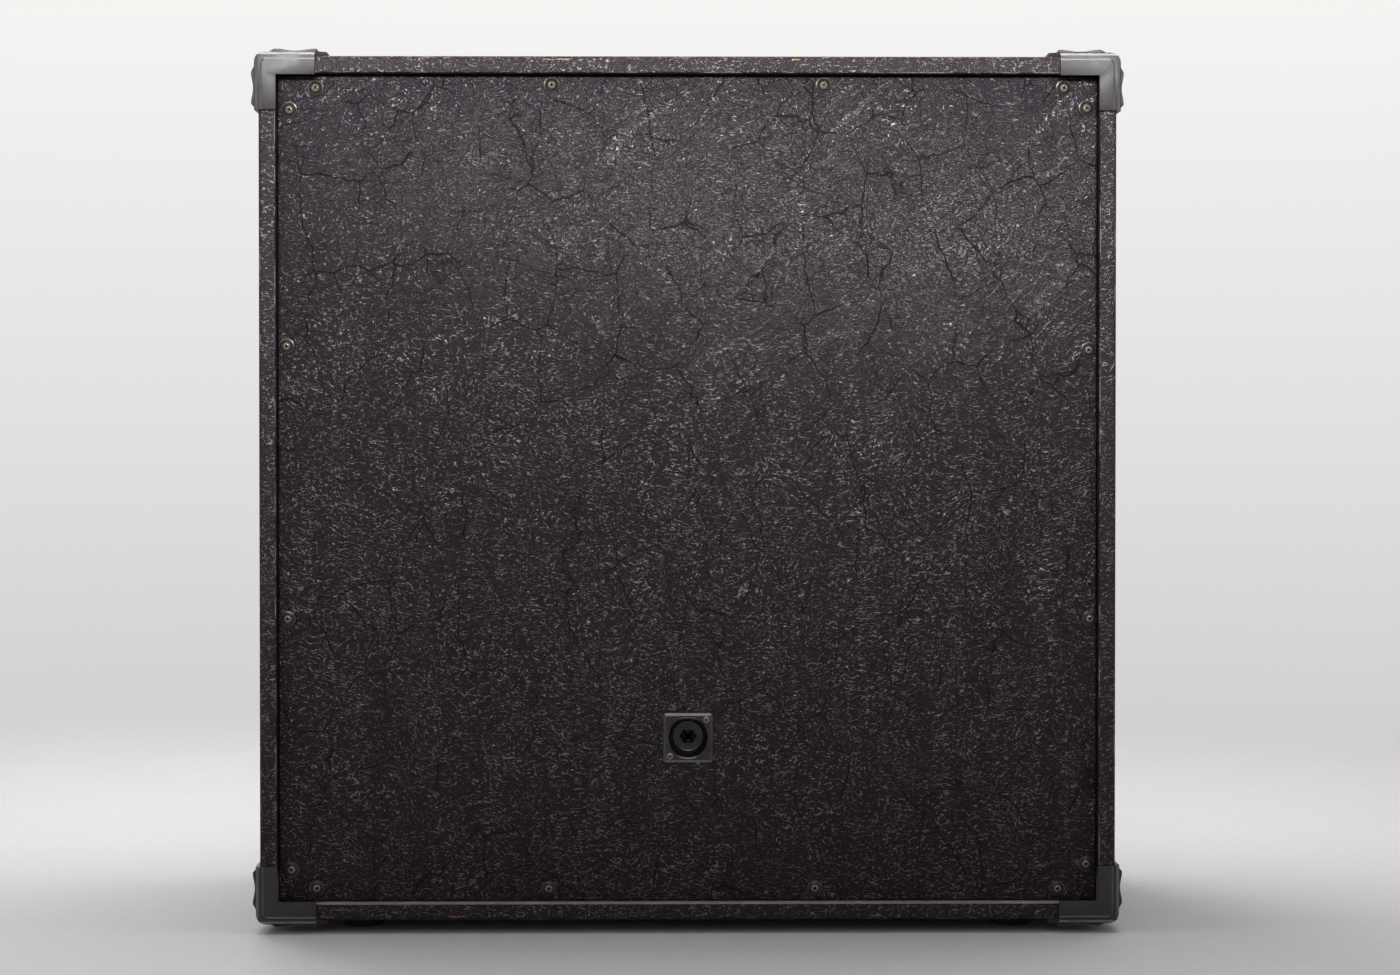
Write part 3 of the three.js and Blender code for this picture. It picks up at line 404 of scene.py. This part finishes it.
def mesh_of(bm, matrix=None):
    """The welded mesh of a bmesh, with its faces turned outwards."""
    bmesh.ops.remove_doubles(bm, verts=bm.verts, dist=WELD)
    bmesh.ops.dissolve_degenerate(bm, edges=bm.edges, dist=SLIVER)
    bmesh.ops.recalc_face_normals(bm, faces=bm.faces)
    if matrix is not None:
        bm.transform(matrix)
        if matrix.determinant() < 0:
            bmesh.ops.reverse_faces(bm, faces=bm.faces)
    mesh = bpy.data.meshes.new("made")
    bm.to_mesh(mesh)
    bm.free()
    return mesh


def bmesh_of(*meshes):
    """One bmesh with the faces of all the meshes."""
    bm = bmesh.new()
    for mesh in meshes:
        bm.from_mesh(mesh)
    return bm


def evaluated(mesh, *modifiers):
    """The mesh after some modifiers, each a (kind, settings) pair."""
    holder = bpy.data.objects.new("holder", mesh)
    bpy.context.scene.collection.objects.link(holder)
    for kind, settings in modifiers:
        modifier = holder.modifiers.new(kind, kind)
        for key, value in settings.items():
            setattr(modifier, key, value)
    graph = bpy.context.evaluated_depsgraph_get()
    made = bpy.data.meshes.new_from_object(holder.evaluated_get(graph), depsgraph=graph)
    bpy.data.objects.remove(holder)
    return made


def combined(mesh, other, operation):
    """The union, difference or intersection of two closed meshes."""
    tool = bpy.data.objects.new("tool", other)
    bpy.context.scene.collection.objects.link(tool)
    made = evaluated(mesh, ("BOOLEAN", {"object": tool, "operation": operation, "solver": "EXACT"}))
    bpy.data.objects.remove(tool)
    return made


def softened(mesh, width, segments=2, angle=0.5):
    """The mesh with its sharp edges rounded."""
    return evaluated(mesh, ("BEVEL", {"width": width, "segments": segments, "limit_method": "ANGLE",
                                      "angle_limit": angle, "use_clamp_overlap": True}))


def prism(outline, axis, low, high):
    """An outline extruded along one axis. It is drawn in the two axes left over, in the order x, y, z."""
    def at(a, b, place):
        point = [a, b]
        point.insert(axis, place)
        return point
    return mesh_of(lofted([[at(a, b, place) for a, b in outline] for place in (low, high)], caps=True))


def brick(low, high):
    """A block between two opposite corners."""
    (x0, y0, z0), (x1, y1, z1) = low, high
    return prism([(x0, y0), (x1, y0), (x1, y1), (x0, y1)], 2, z0, z1)


def piece(name, bm, material, nodes=(), matrix=None, body=CABINET, sharp=0.6):
    """One piece of the object, shaded smooth but for its sharp edges."""
    mesh = mesh_of(bm, matrix)
    bm = bmesh_of(mesh)
    for face in bm.faces:
        face.smooth = True
    for edge in bm.edges:
        edge.smooth = len(edge.link_faces) == 2 and edge.calc_face_angle(0) < sharp
    bm.to_mesh(mesh)
    bm.free()
    mesh.name = name
    mesh.materials.clear()
    mesh.materials.append(material.data)
    made = bpy.data.objects.new(name, mesh)
    bpy.context.scene.collection.objects.link(made)
    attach(made, body)
    if nodes:
        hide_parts(*nodes)
    return made


def placed(x=0.0, y=0.0, z=0.0, turn=(0, 0, 0)):
    """Millimetres to metres, turned and then moved to a place in metres."""
    return Matrix.Translation((x, y, z)) @ Euler(turn).to_matrix().to_4x4() @ Matrix.Scale(MM, 4)


def centre(node):
    """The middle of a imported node's box, in metres."""
    low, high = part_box(node)
    return (low + high) / 2


# Screw heads, drawn on the depth axis and facing +Y


def cross_head(radius, base, rise, slot_width, slot_reach, slot_depth):
    """A domed screw head with a cross recess, whose middle runs down into the top of the shank."""
    stub, foot = radius * 0.52, base - 3
    steps = [(stub, foot), (stub, base), (radius, base), (radius, base + rise * 0.2)]
    for i in range(1, 6):
        share = i / 6
        steps.append((radius * math.cos(share * TURN / 4), base + rise * (0.2 + 0.8 * math.sin(share * TURN / 4))))
    head = mesh_of(turned([(0, foot)] + steps + [(0, base + rise)], 32))
    arm = [(slot_width, slot_reach), (slot_width, slot_width), (slot_reach, slot_width)]
    back = arm[::-1]
    cross = arm + [(a, -b) for a, b in back] + [(-a, -b) for a, b in arm] + [(-a, b) for a, b in back]
    top = base + rise
    steps = ((1 + 0.5 / slot_depth, top + 0.5), (0.04, top - slot_depth))
    cutter = lofted([[(a * scale, place, b * scale) for a, b in cross] for scale, place in steps], caps=True)
    steps = ((0.37, top + 0.5), (0.22, foot + 0.8))
    well = lofted([circle(radius * share, place, 12) for share, place in steps], caps=True)
    return combined(combined(head, mesh_of(cutter), "DIFFERENCE"), mesh_of(well), "DIFFERENCE")


def panel_screws():
    """The panel's screws with their cup washers, each a little askew."""
    head = cross_head(3.7, 0.6, 2.3, 0.75, 2.3, 2.0)
    shank = mesh_of(turned([(0, -26), (0.4, -25), (2, -19), (2, -2), (0, -2)], 16))
    rim = [(3.75, 0.0), (7.2, 0.0), (7.25, 0.45), (7.0, 0.95), (6.4, 1.1), (5.6, 1.25), (5.05, 1.7), (4.7, 2.25),
           (4.35, 2.4), (4.05, 2.2), (3.85, 1.7)]
    washer = mesh_of(turned(rim, 40, ring=True))
    for node in sorted(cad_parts):
        if not node.startswith("panel_screw"):
            continue
        spot = centre(node)
        tilt = (rng.uniform(-0.05, 0.05), rng.uniform(0, TURN), rng.uniform(-0.05, 0.05))
        place = placed(spot.x, PANEL_HIGH.y + 0.0001, spot.z, tilt)
        piece(node + "_head", bmesh_of(head, shank), STEEL, [node], place)
        piece(node + "_washer", bmesh_of(washer), WASHER, (), place)


# Shell and panel

# Places where the covering is torn from the back edge: the middle across, the length, and whether it is the top edge
TORN_PLACES = ((117, 27, True), (-96, 8, True), (322, 12, False), (205, 17, False), (-170, 9, False))


def torn_patch(middle, length, high):
    """A ragged block that cuts the covering from the shell's back edge, at the top or the bottom."""
    side = 1 if high else -1
    along = [middle + length * (i / 12 - 0.5) for i in range(13)]
    inner = [(a, side * (HALF.z - rng.uniform(3.0, 4.4) + (0.8 if i in (0, 12) else 0))) for i, a in enumerate(along)]
    outer = [(a, side * (HALF.z - rng.uniform(1.2, 2.1))) for a in reversed(along)]
    return prism(inner + outer, 1, HALF.y - 6, HALF.y + 2)


def shell_skin():
    """The covering, as one profile carried round the shell: over the outside and in over both edges."""
    lining, turn_in, edge, lip = 15.0, 1.0, 4.0, 1.3
    inner = {1: PANEL_LOW.y / MM, -1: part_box("baffle_board")[0].y / MM}
    profile = []
    for sign in (1, -1):
        out = HALF.y
        arc = [(edge - edge * sine, out - edge + edge * cosine) for sine, cosine in quarter(6)]
        lip_arc = [(lining - lip + lip * sine, out - lip + lip * cosine) for sine, cosine in reversed(quarter(4))]
        points = [(lining, sign * inner[sign])] + lip_arc + arc
        points = [(inset, sign * place if i else place) for i, (inset, place) in enumerate(points)]
        profile += points if sign > 0 else points[::-1]
    hidden = [(lining - turn_in, inner[-1]), (lining - turn_in, turn_in - HALF.y), (edge, turn_in - HALF.y),
              (turn_in, edge - HALF.y), (turn_in, HALF.y - edge), (edge, HALF.y - turn_in),
              (lining - turn_in, HALF.y - turn_in), (lining - turn_in, inner[1])]
    profile[0] = (lining, inner[1])
    profile[-1] = (lining, inner[-1])
    loops = []
    corner_radius = 7.0
    for inset, place in profile + hidden:
        radius = max(corner_radius - inset, 0.0)
        outline = rounded(2 * (HALF.x - inset), 2 * (HALF.z - inset), radius, 6)
        loops.append([(a, place, b) for a, b in outline])
    skin = mesh_of(lofted(loops, ring=True))
    handle_hole = rounded(176, 112, 18)
    for sign in (1, -1):
        low, high = sorted((sign * (HALF.x - 20), sign * (HALF.x + 5)))
        skin = combined(skin, prism(handle_hole, 0, low, high), "DIFFERENCE")
    for middle, length, high in TORN_PLACES:
        skin = combined(skin, torn_patch(middle, length, high), "DIFFERENCE")
    piece("shell_vinyl", bmesh_of(skin), SHELL_VINYL, ["vinyl_covering"], placed(*MIDDLE))


def rear_panel():
    """The back panel with its wrapped, softly rounded edge and the round hole for the jack dish."""
    low, high = PANEL_LOW / MM, PANEL_HIGH / MM
    width, height = high.x - low.x, high.z - low.z
    loops = []
    for inset, place in ((0.4, low.y), (0, low.y + 0.4), (0, high.y - 1.6), (0.15, high.y - 0.9), (0.6, high.y - 0.3),
                         (1.4, high.y)):
        outline = rounded(width - 2 * inset, height - 2 * inset, 3 - inset, 5)
        loops.append([(a, place, b + (low.z + high.z) / 2) for a, b in outline])
    slab = mesh_of(lofted(loops, caps=True))
    jack_centre, hole_radius = centre("jack_plate") / MM, 17
    bm = turned([(hole_radius, low.y - 5), (hole_radius, high.y + 5)], 64)
    bmesh.ops.holes_fill(bm, edges=bm.edges)
    bmesh.ops.translate(bm, vec=(jack_centre.x, 0, jack_centre.z), verts=bm.verts)
    slab = combined(slab, mesh_of(bm), "DIFFERENCE")
    piece("rear_panel", bmesh_of(slab), PANEL_VINYL, ["back_panel"], placed())


# Moulded corners

# The corners' two screws: their inset from the shell's faces, that of the leaf's screw along its leaf, and their seat
SCREW_INSET, LEAF_SCREW_INSET, SCREW_SEAT = 27, 36, 1.6


def ridge(start, end, height, dip, steps=16):
    """The wavy top of a stacking pad, as (place, height) points."""
    return [(start + (end - start) * i / steps, height - dip * (1 - math.cos(TURN * i / steps)) / 2)
            for i in range(steps + 1)]


def corner_arc(a, b, radius, steps=8):
    """A square outline inwards from the outer corner (a, b), with that corner rounded."""
    reach = 70
    arc = [(a - radius + radius * cosine, b - radius + radius * sine) for sine, cosine in quarter(steps)]
    return [(a, b - reach)] + arc + [(a - reach, b), (a - reach, b - reach)]


def free_arc(a, b, radius, steps=8):
    """The round free corner of a leaf, from its side at a to its side at b."""
    return [(a + radius - radius * cosine, b + radius - radius * sine) for sine, cosine in quarter(steps)]


def corner_mesh():
    """The corner at the right, top and back, round the shell's middle."""
    x, y, z = HALF
    reach, arm_reach, top_reach, depth, wall, thick, free = 48, 50.5, 60, 56, 4, 3.5, 24
    arm, side, shoulder, step = 17, 16, 8, 1.2
    block, far, beyond = 70, 12, 90
    pad, dip = 7, 1.8
    moulded = prism(corner_arc(y + thick, z + wall, shoulder), 0, x - block, x + wall)
    moulded = combined(moulded, prism(corner_arc(x + wall, z + wall, 11.5, 12), 1, y - block, y + thick), "INTERSECT")
    moulded = combined(moulded, prism(corner_arc(x + wall, y + thick, shoulder), 2, z - block, z + wall), "INTERSECT")
    top_wave = [(a, z + h) for a, h in ridge(x - 14, x - top_reach + 9, pad, dip)]
    side_wave = [(x + h, a) for a, h in ridge(z - reach + 6, z - 14, pad, dip)]
    outline = [(x - top_reach, z - wall), (x - wall, z - wall), (x - wall, z - reach), (x + wall / 2, z - reach)]
    outline += side_wave + [(x + wall, z - 8), (x, z), (x - 8, z + wall)] + top_wave
    moulded = combined(moulded, softened(prism(outline, 1, y - 48, y - 5), 1.2, 3, 0.9), "UNION")
    top_leaf = [(x + far, y - depth), (x + far, y + far), (x - arm_reach, y + far), (x - arm_reach, y - 3),
                (x - top_reach, y - 7.75)] + free_arc(x - top_reach, y - depth, free)
    side_leaf = [(y + far, z - reach), (y + far, z + far), (y - depth, z + far)]
    side_leaf += free_arc(y - depth, z - reach, free)
    back_flange = [(x - arm_reach, z - arm), (x - side, z - arm), (x - side, z - reach), (x + far, z - reach),
                   (x + far, z + far), (x - arm_reach, z + far)]
    keep = combined(prism(top_leaf, 2, z - 0.01, z + far), prism(side_leaf, 0, x - 0.01, x + far), "UNION")
    keep = combined(keep, prism(back_flange, 1, y - 0.01, y + far), "UNION")
    moulded = combined(moulded, keep, "INTERSECT")
    moulded = combined(moulded, brick((-x, -y, -z), (x, y, z)), "DIFFERENCE")
    loops = []
    for place, out in ((y + thick - step, step), (y + thick, 0), (y + far, 0)):
        plate_x, plate_z, plate_round = x + wall - shoulder + 0.3 + out, z + wall - shoulder + 0.3 + out, 4 + out
        arc = [(plate_x - plate_round * (1 - cosine), plate_z - plate_round * (1 - sine))
               for sine, cosine in quarter(8)]
        outside = [(plate_x, z - beyond)] + arc + [(x - beyond, plate_z), (x - beyond, z + far)]
        outside += [(x + far, z + far), (x + far, z - beyond)]
        loops.append([(a, place, b) for a, b in outside])
    moulded = combined(moulded, mesh_of(lofted(loops, caps=True)), "DIFFERENCE")
    for axis, spot in ((0, (y - SCREW_INSET, z - SCREW_INSET)), (2, (x - LEAF_SCREW_INSET, y - SCREW_INSET))):
        well = disc(4.6, 24, *spot)
        base = (x if axis == 0 else z) + SCREW_SEAT
        moulded = combined(moulded, prism(well, axis, base, base + 20), "DIFFERENCE")
    return softened(moulded, 0.55, 2, 0.6)


def corners():
    """The eight corners, mirrored from one, and their screws."""
    body = corner_mesh()
    head = cross_head(3.6, 0, 1.9, 0.6, 2.1, 1.8)
    x, y, z = HALF
    side_place = Matrix.Translation((x + SCREW_SEAT, y - SCREW_INSET, z - SCREW_INSET))
    side = side_place @ Euler((0.3, 0, -TURN / 4)).to_matrix().to_4x4()
    leaf_place = Matrix.Translation((x - LEAF_SCREW_INSET, y - SCREW_INSET, z + SCREW_SEAT))
    leaf = leaf_place @ Euler((TURN / 4, 0, 0.5)).to_matrix().to_4x4()
    for across, sx in (("right", 1), ("left", -1)):
        for up, sz in (("top", 1), ("bottom", -1)):
            for deep, sy in (("back", 1), ("front", -1)):
                name = "_".join(("corner", up, deep, across))
                flip = placed(*MIDDLE) @ Matrix.Diagonal((sx, sy, sz, 1))
                piece(name + "_guard", bmesh_of(body), CORNER, [name], flip)
                piece(name + "_side_screw", bmesh_of(head), STEEL, (), flip @ side)
                piece(name + "_leaf_screw", bmesh_of(head), STEEL, (), flip @ leaf)


# Jack plate and socket


def jack():
    """The square plate with its round dish, and the socket with its nut, thread, body and lugs."""
    spot = centre("jack_plate")
    low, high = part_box("jack_plate")
    face = PANEL_HIGH.y / MM
    half = (high.x - low.x) / 2 / MM
    rise, depth, bore = 3, 16, 3.3
    floor = face - depth

    def square(reach, power=26):
        return lambda a: reach / (abs(math.cos(a)) ** power + abs(math.sin(a)) ** power) ** (1 / power)

    loops = [(square(half), face), (square(half), face + 0.7), (square(half - 0.3), face + 1.1),
             (square(half - 2.2), face + 2.9), (square(half - 2.7), face + rise), (19.0, face + rise),
             (18.6, face + 2.85), (17.7, face + 1.9), (17.3, face + 1.2), (16.1, face - 1.6), (14.6, face - 5),
             (14.0, face - 14), (13.4, face - 15.6), (12.2, floor), (5.05, floor), (5.05, floor - 2.5),
             (16.7, floor - 2.5), (16.9, face)]
    plate = mesh_of(lofted([circle(radius, place, 96) for radius, place in loops], ring=True))
    at_jack = placed(spot.x, 0, spot.z)
    piece("jack_plate_moulding", bmesh_of(plate), PLATE, ["jack_plate"], at_jack, sharp=0.5)
    head = cross_head(3.1, 0, 1.6, 0.65, 2.0, 1.45)
    for node in ("jack_plate_screw_upper", "jack_plate_screw_lower"):
        place = centre(node)
        turned_head = placed(place.x, (face + rise) * MM, place.z, (0, rng.uniform(0, TURN), 0))
        piece(node + "_head", bmesh_of(head), STEEL, [node], turned_head)

    def hexagon(reach):
        return lambda a: reach * math.cos(TURN / 12) / math.cos((a % (TURN / 6)) - TURN / 12)

    nut = [(5.0, floor), (hexagon(7.4), floor), (hexagon(7.4), floor + 1.9), (hexagon(6.9), floor + 2.4),
           (5.0, floor + 2.5)]
    nut_mesh = mesh_of(lofted([circle(radius, place, 72) for radius, place in nut], ring=True))
    threads = [(4.75 - 0.25 * (i % 2), floor + 2.5 + 0.35 * i) for i in range(9)]
    bush = [(bore, floor - 2.4), (4.75, floor - 2.4)] + threads
    bush += [(4.3, floor + 6), (3.6, floor + 6), (bore, floor + 5.6)]
    bush_mesh = mesh_of(turned(bush, 48, ring=True))
    # The nut and bushing are painted near-black, as painted shade at the bottom of the dish.
    piece("jack_bushing", bmesh_of(nut_mesh, bush_mesh), JACK_SHADE_BLACK, ["jack_socket"], at_jack)
    back = floor - 2.5
    shell = softened(brick((-8, back - 24, -11), (8, back, 11)), 0.8)
    shell = combined(shell, prism(disc(bore, 32), 1, back - 18, back + 1), "DIFFERENCE")
    piece("jack_body", bmesh_of(shell), JACK_SHADE_BLACK, (), at_jack)
    lugs = [softened(brick((x - 1.5, back - 31, -0.6), (x + 1.5, back - 24, 0.6)), 0.2) for x in (-4, 4)]
    piece("jack_lugs", bmesh_of(*lugs), NICKEL, (), at_jack)


# Handles


def handles():
    """The recessed dish on each side, its grip and its four screws."""
    length, height, radius, rim = 174.4, 110.4, 17.2, 2.6
    face = HALF.x
    rows = [(face - 47.5, -12.0), (face - 47.4, -9.0), (face - 46.4, -6.3), (face - 44.4, -4.2), (face - 41.5, -2.9),
            (face - 38.0, -2.5), (face + 1.0, -2.5), (face + 1.9, -2.1), (face + 2.5, -1.0), (face + rim, 0.6),
            (face + rim, 10.4), (face + 2.3, 11.4), (face + 1.4, 12.0), (face, 12.0), (face, 0.0), (face - 48.5, 0.0),
            (face - 50, -1.5)]
    loops = []
    for place, grow in rows:
        outline = rounded(length + 2 * grow, height + 2 * grow, max(radius + grow, 4), 8)
        loops.append([(place, a, b) for a, b in outline])
    dish = mesh_of(lofted(loops, caps=True))
    end = length / 2 - 2.5
    profile = [(0, -end), (9.5, -end), (9.6, -end + 4)]
    for i in range(41):
        along = -end + 8 + (2 * end - 16) * i / 40
        swell = 9.7 + 2.3 * math.sin(math.pi * i / 40) ** 0.6
        groove = 0.45 * (1 - math.cos(TURN * i / 4)) if 6 <= i <= 34 else 0
        profile.append((swell - groove, along))
    profile += [(9.6, end - 4), (9.5, end), (0, end)]
    grip = mesh_of(turned(profile, 32))
    head = cross_head(3.4, 0, 1.5, 0.6, 2.0, 1.4)
    for side, sign in (("right", 1), ("left", -1)):
        flip = placed(*MIDDLE) @ Matrix.Diagonal((sign, 1, 1, 1))
        piece("handle_cup_" + side, bmesh_of(dish), DISH, ["handle_dish_" + side], flip)
        spot = centre("handle_grip_" + side)
        piece("handle_bar_" + side, bmesh_of(grip), GRIP, ["handle_grip_" + side], placed(*spot))
        for a in (-1, 1):
            for b in (-1, 1):
                turn = Euler((rng.uniform(0, 3), 0, -TURN / 4)).to_matrix().to_4x4()
                place = Matrix.Translation((face + rim, a * (length / 2 - 2), b * (height / 2 + 4.5)))
                name = "_".join(("handle_screw", side, "back" if a > 0 else "front", "upper" if b > 0 else "lower"))
                piece(name, bmesh_of(head), STEEL, (), flip @ place @ turn)


def feet():
    """The rubber feet, each with a washer and a screw in its hollow."""
    profile = [(0, 4), (6.6, 4), (7, 3.6), (7, 0.8), (7.6, 0.1), (8.4, 0), (16.8, 0), (17.7, 0.3), (18.1, 1.1),
               (19.8, 11), (20, 12), (0, 12)]
    foot = mesh_of(turned([(r, -h) for r, h in profile], 40))
    head = cross_head(4.2, 0, 1.8, 0.7, 2.4, 1.7)
    washer = mesh_of(turned([(2.2, 0), (6.4, 0), (6.4, 0.9), (2.2, 0.9)], 32, ring=True))
    down = (-TURN / 4, 0, 0)
    for node in sorted(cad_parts):
        if node.startswith("foot_"):
            x, y, low = *centre(node).xy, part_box(node)[0].z
            piece(node + "_rubber", bmesh_of(foot), RUBBER, [node], placed(x, y, low, down))
            piece(node + "_washer", bmesh_of(washer), WASHER, (), placed(x, y, low + 0.004, down))
            piece(node + "_screw", bmesh_of(head), STEEL, (), placed(x, y, low + 0.0031, down))


def grille():
    """The stretched cloth: a thin sheet with a slight belly, and its edge rows set a little further in."""
    low, high = CLOTH_LOW / MM, CLOTH_HIGH / MM
    width, height = high.x - low.x, high.z - low.z
    steps, lift, bulge, fold, thickness = 24, 0.15, 0.25, 0.55, 0.5
    bm = bmesh.new()
    rows = []
    for j in range(steps + 1):
        row = []
        for i in range(steps + 1):
            u, v = i / steps, j / steps
            belly = bulge * math.sin(math.pi * u) * math.sin(math.pi * v)
            edge = fold if i in (0, steps) or j in (0, steps) else 0.0
            row.append(bm.verts.new((low.x + width * u, low.y + lift + belly + edge, low.z + height * v)))
        rows.append(row)
    for j in range(steps):
        for i in range(steps):
            bm.faces.new((rows[j][i], rows[j][i + 1], rows[j + 1][i + 1], rows[j + 1][i]))
    face = mesh_of(bm)
    thick = evaluated(face, ("SOLIDIFY", {"thickness": thickness, "offset": 0.0}))
    made = piece("stretched_cloth", bmesh_of(thick), CLOTH, ["grille_cloth"], placed())


def dress_nodes():
    """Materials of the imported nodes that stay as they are."""
    thin_x, thin_y, thin_z = WOOD
    looks = [("right_side_board", thin_x), ("left_side_board", thin_x), ("top_board", thin_z),
             ("bottom_board", thin_z), ("baffle_board", thin_y), ("batten_frame", thin_y), ("centre_post", thin_x),
             ("grille_frame", thin_y), ("driver_basket", BASKET), ("driver_magnet", FERRITE), ("driver_cone", CONE),
             ("wiring_harness", WIRE)]
    for node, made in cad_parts.items():
        for head, material in looks:
            if node.startswith(head):
                for slot in made.material_slots:
                    slot.material = material.data


# Camera, floor and light


def studio():
    """The camera of the photograph, a pale floor that fades into the background, the world and three lamps."""
    scene = bpy.context.scene
    camera = bpy.data.cameras.new("camera")
    camera.lens = 72.415
    camera.sensor_width = 36
    camera.clip_end = 50
    holder = bpy.data.objects.new("camera", camera)
    holder.location = (0.0164, 2.68, 0.433)
    holder.rotation_euler = (math.radians(90 - 0.8193), 0, math.pi - math.radians(0.6165))
    scene.collection.objects.link(holder)
    scene.camera = holder

    floor_look = Material("floor")
    speckle = floor_look.noise(60, 4)
    floor_look.set(Base_Color=floor_look.mixed(speckle, (0.6, 0.59, 0.585), (0.66, 0.65, 0.645)), Roughness=0.85)
    away = floor_look.make("VectorMath", {0: floor_look.place}, "Value", operation="LENGTH")
    faded = floor_look.times(floor_look.span(away, 0.7, 2.4), floor_look.make("LightPath", output="Is Camera Ray"))
    clear = floor_look.make("BsdfTransparent")
    mixed = floor_look.make("MixShader", {0: faded, 1: floor_look.shader.outputs[0], 2: clear})
    floor_look.links.new(mixed, floor_look.nodes["Material Output"].inputs["Surface"])
    floor_radius = 9.0
    bm = lofted([circle(floor_radius, 0, 96), [(0, 0, 0)]])
    bm.transform(Matrix.Rotation(TURN / 4, 4, "X"))
    mesh = mesh_of(bm)
    mesh.materials.append(floor_look.data)
    floor = bpy.data.objects.new("floor", mesh)
    scene.collection.objects.link(floor)

    scene.world = bpy.data.worlds.new("studio")
    scene.world.use_nodes = True
    nodes, links = scene.world.node_tree.nodes, scene.world.node_tree.links

    def graded(background, low, high, dim, bright, colour):
        """A background whose strength rises with the height of the direction that it is seen in."""
        fade = nodes.new("ShaderNodeMapRange")
        for key, value in (("From Min", low), ("From Max", high), ("To Min", dim), ("To Max", bright)):
            fade.inputs[key].default_value = value
        links.new(split.outputs[2], fade.inputs["Value"])
        links.new(fade.outputs[0], background.inputs["Strength"])
        background.inputs["Color"].default_value = (*colour, 1)

    place = nodes.new("ShaderNodeTexCoord")
    split = nodes.new("ShaderNodeSeparateXYZ")
    links.new(place.outputs["Generated"], split.inputs[0])
    seen = nodes["Background"]
    lit = nodes.new("ShaderNodeBackground")
    graded(seen, -0.15, 0.17, 0.58, 0.93, (1, 0.995, 0.985))
    graded(lit, -0.1, 0.9, 0.4, 0.36, (1, 0.99, 0.98))
    path = nodes.new("ShaderNodeLightPath")
    either = nodes.new("ShaderNodeMath")
    either.operation = "MAXIMUM"
    mix = nodes.new("ShaderNodeMixShader")
    links.new(path.outputs["Is Camera Ray"], either.inputs[0])
    links.new(path.outputs["Is Transmission Ray"], either.inputs[1])
    links.new(either.outputs[0], mix.inputs[0])
    links.new(lit.outputs[0], mix.inputs[1])
    links.new(seen.outputs[0], mix.inputs[2])
    links.new(mix.outputs[0], nodes["World Output"].inputs["Surface"])

    for name, place, target, size, power, spread in (
        ("key", (0, 1.9, 1.27), (0, 0.17, 1.05), (2.8, 0.3), 19, 57),
        ("top", (0, -0.2, 2.6), (0, 0, 0.5), (2.2, 1.3), 42, 180),
        ("front", (1.4, -2.6, 2.4), (0, -0.17, 0.4), (1.8, 1.4), 45, 180),
    ):
        lamp = bpy.data.lights.new(name, "AREA")
        lamp.shape = "RECTANGLE"
        lamp.size, lamp.size_y = size
        lamp.energy = power
        lamp.spread = math.radians(spread)
        holder = bpy.data.objects.new(name, lamp)
        holder.location = place
        holder.rotation_euler = (Vector(target) - Vector(place)).to_track_quat("-Z", "Y").to_euler()
        scene.collection.objects.link(holder)
    scene.view_settings.view_transform = "Standard"


studio()
shell_skin()
rear_panel()
panel_screws()
corners()
jack()
handles()
feet()
grille()
dress_nodes()
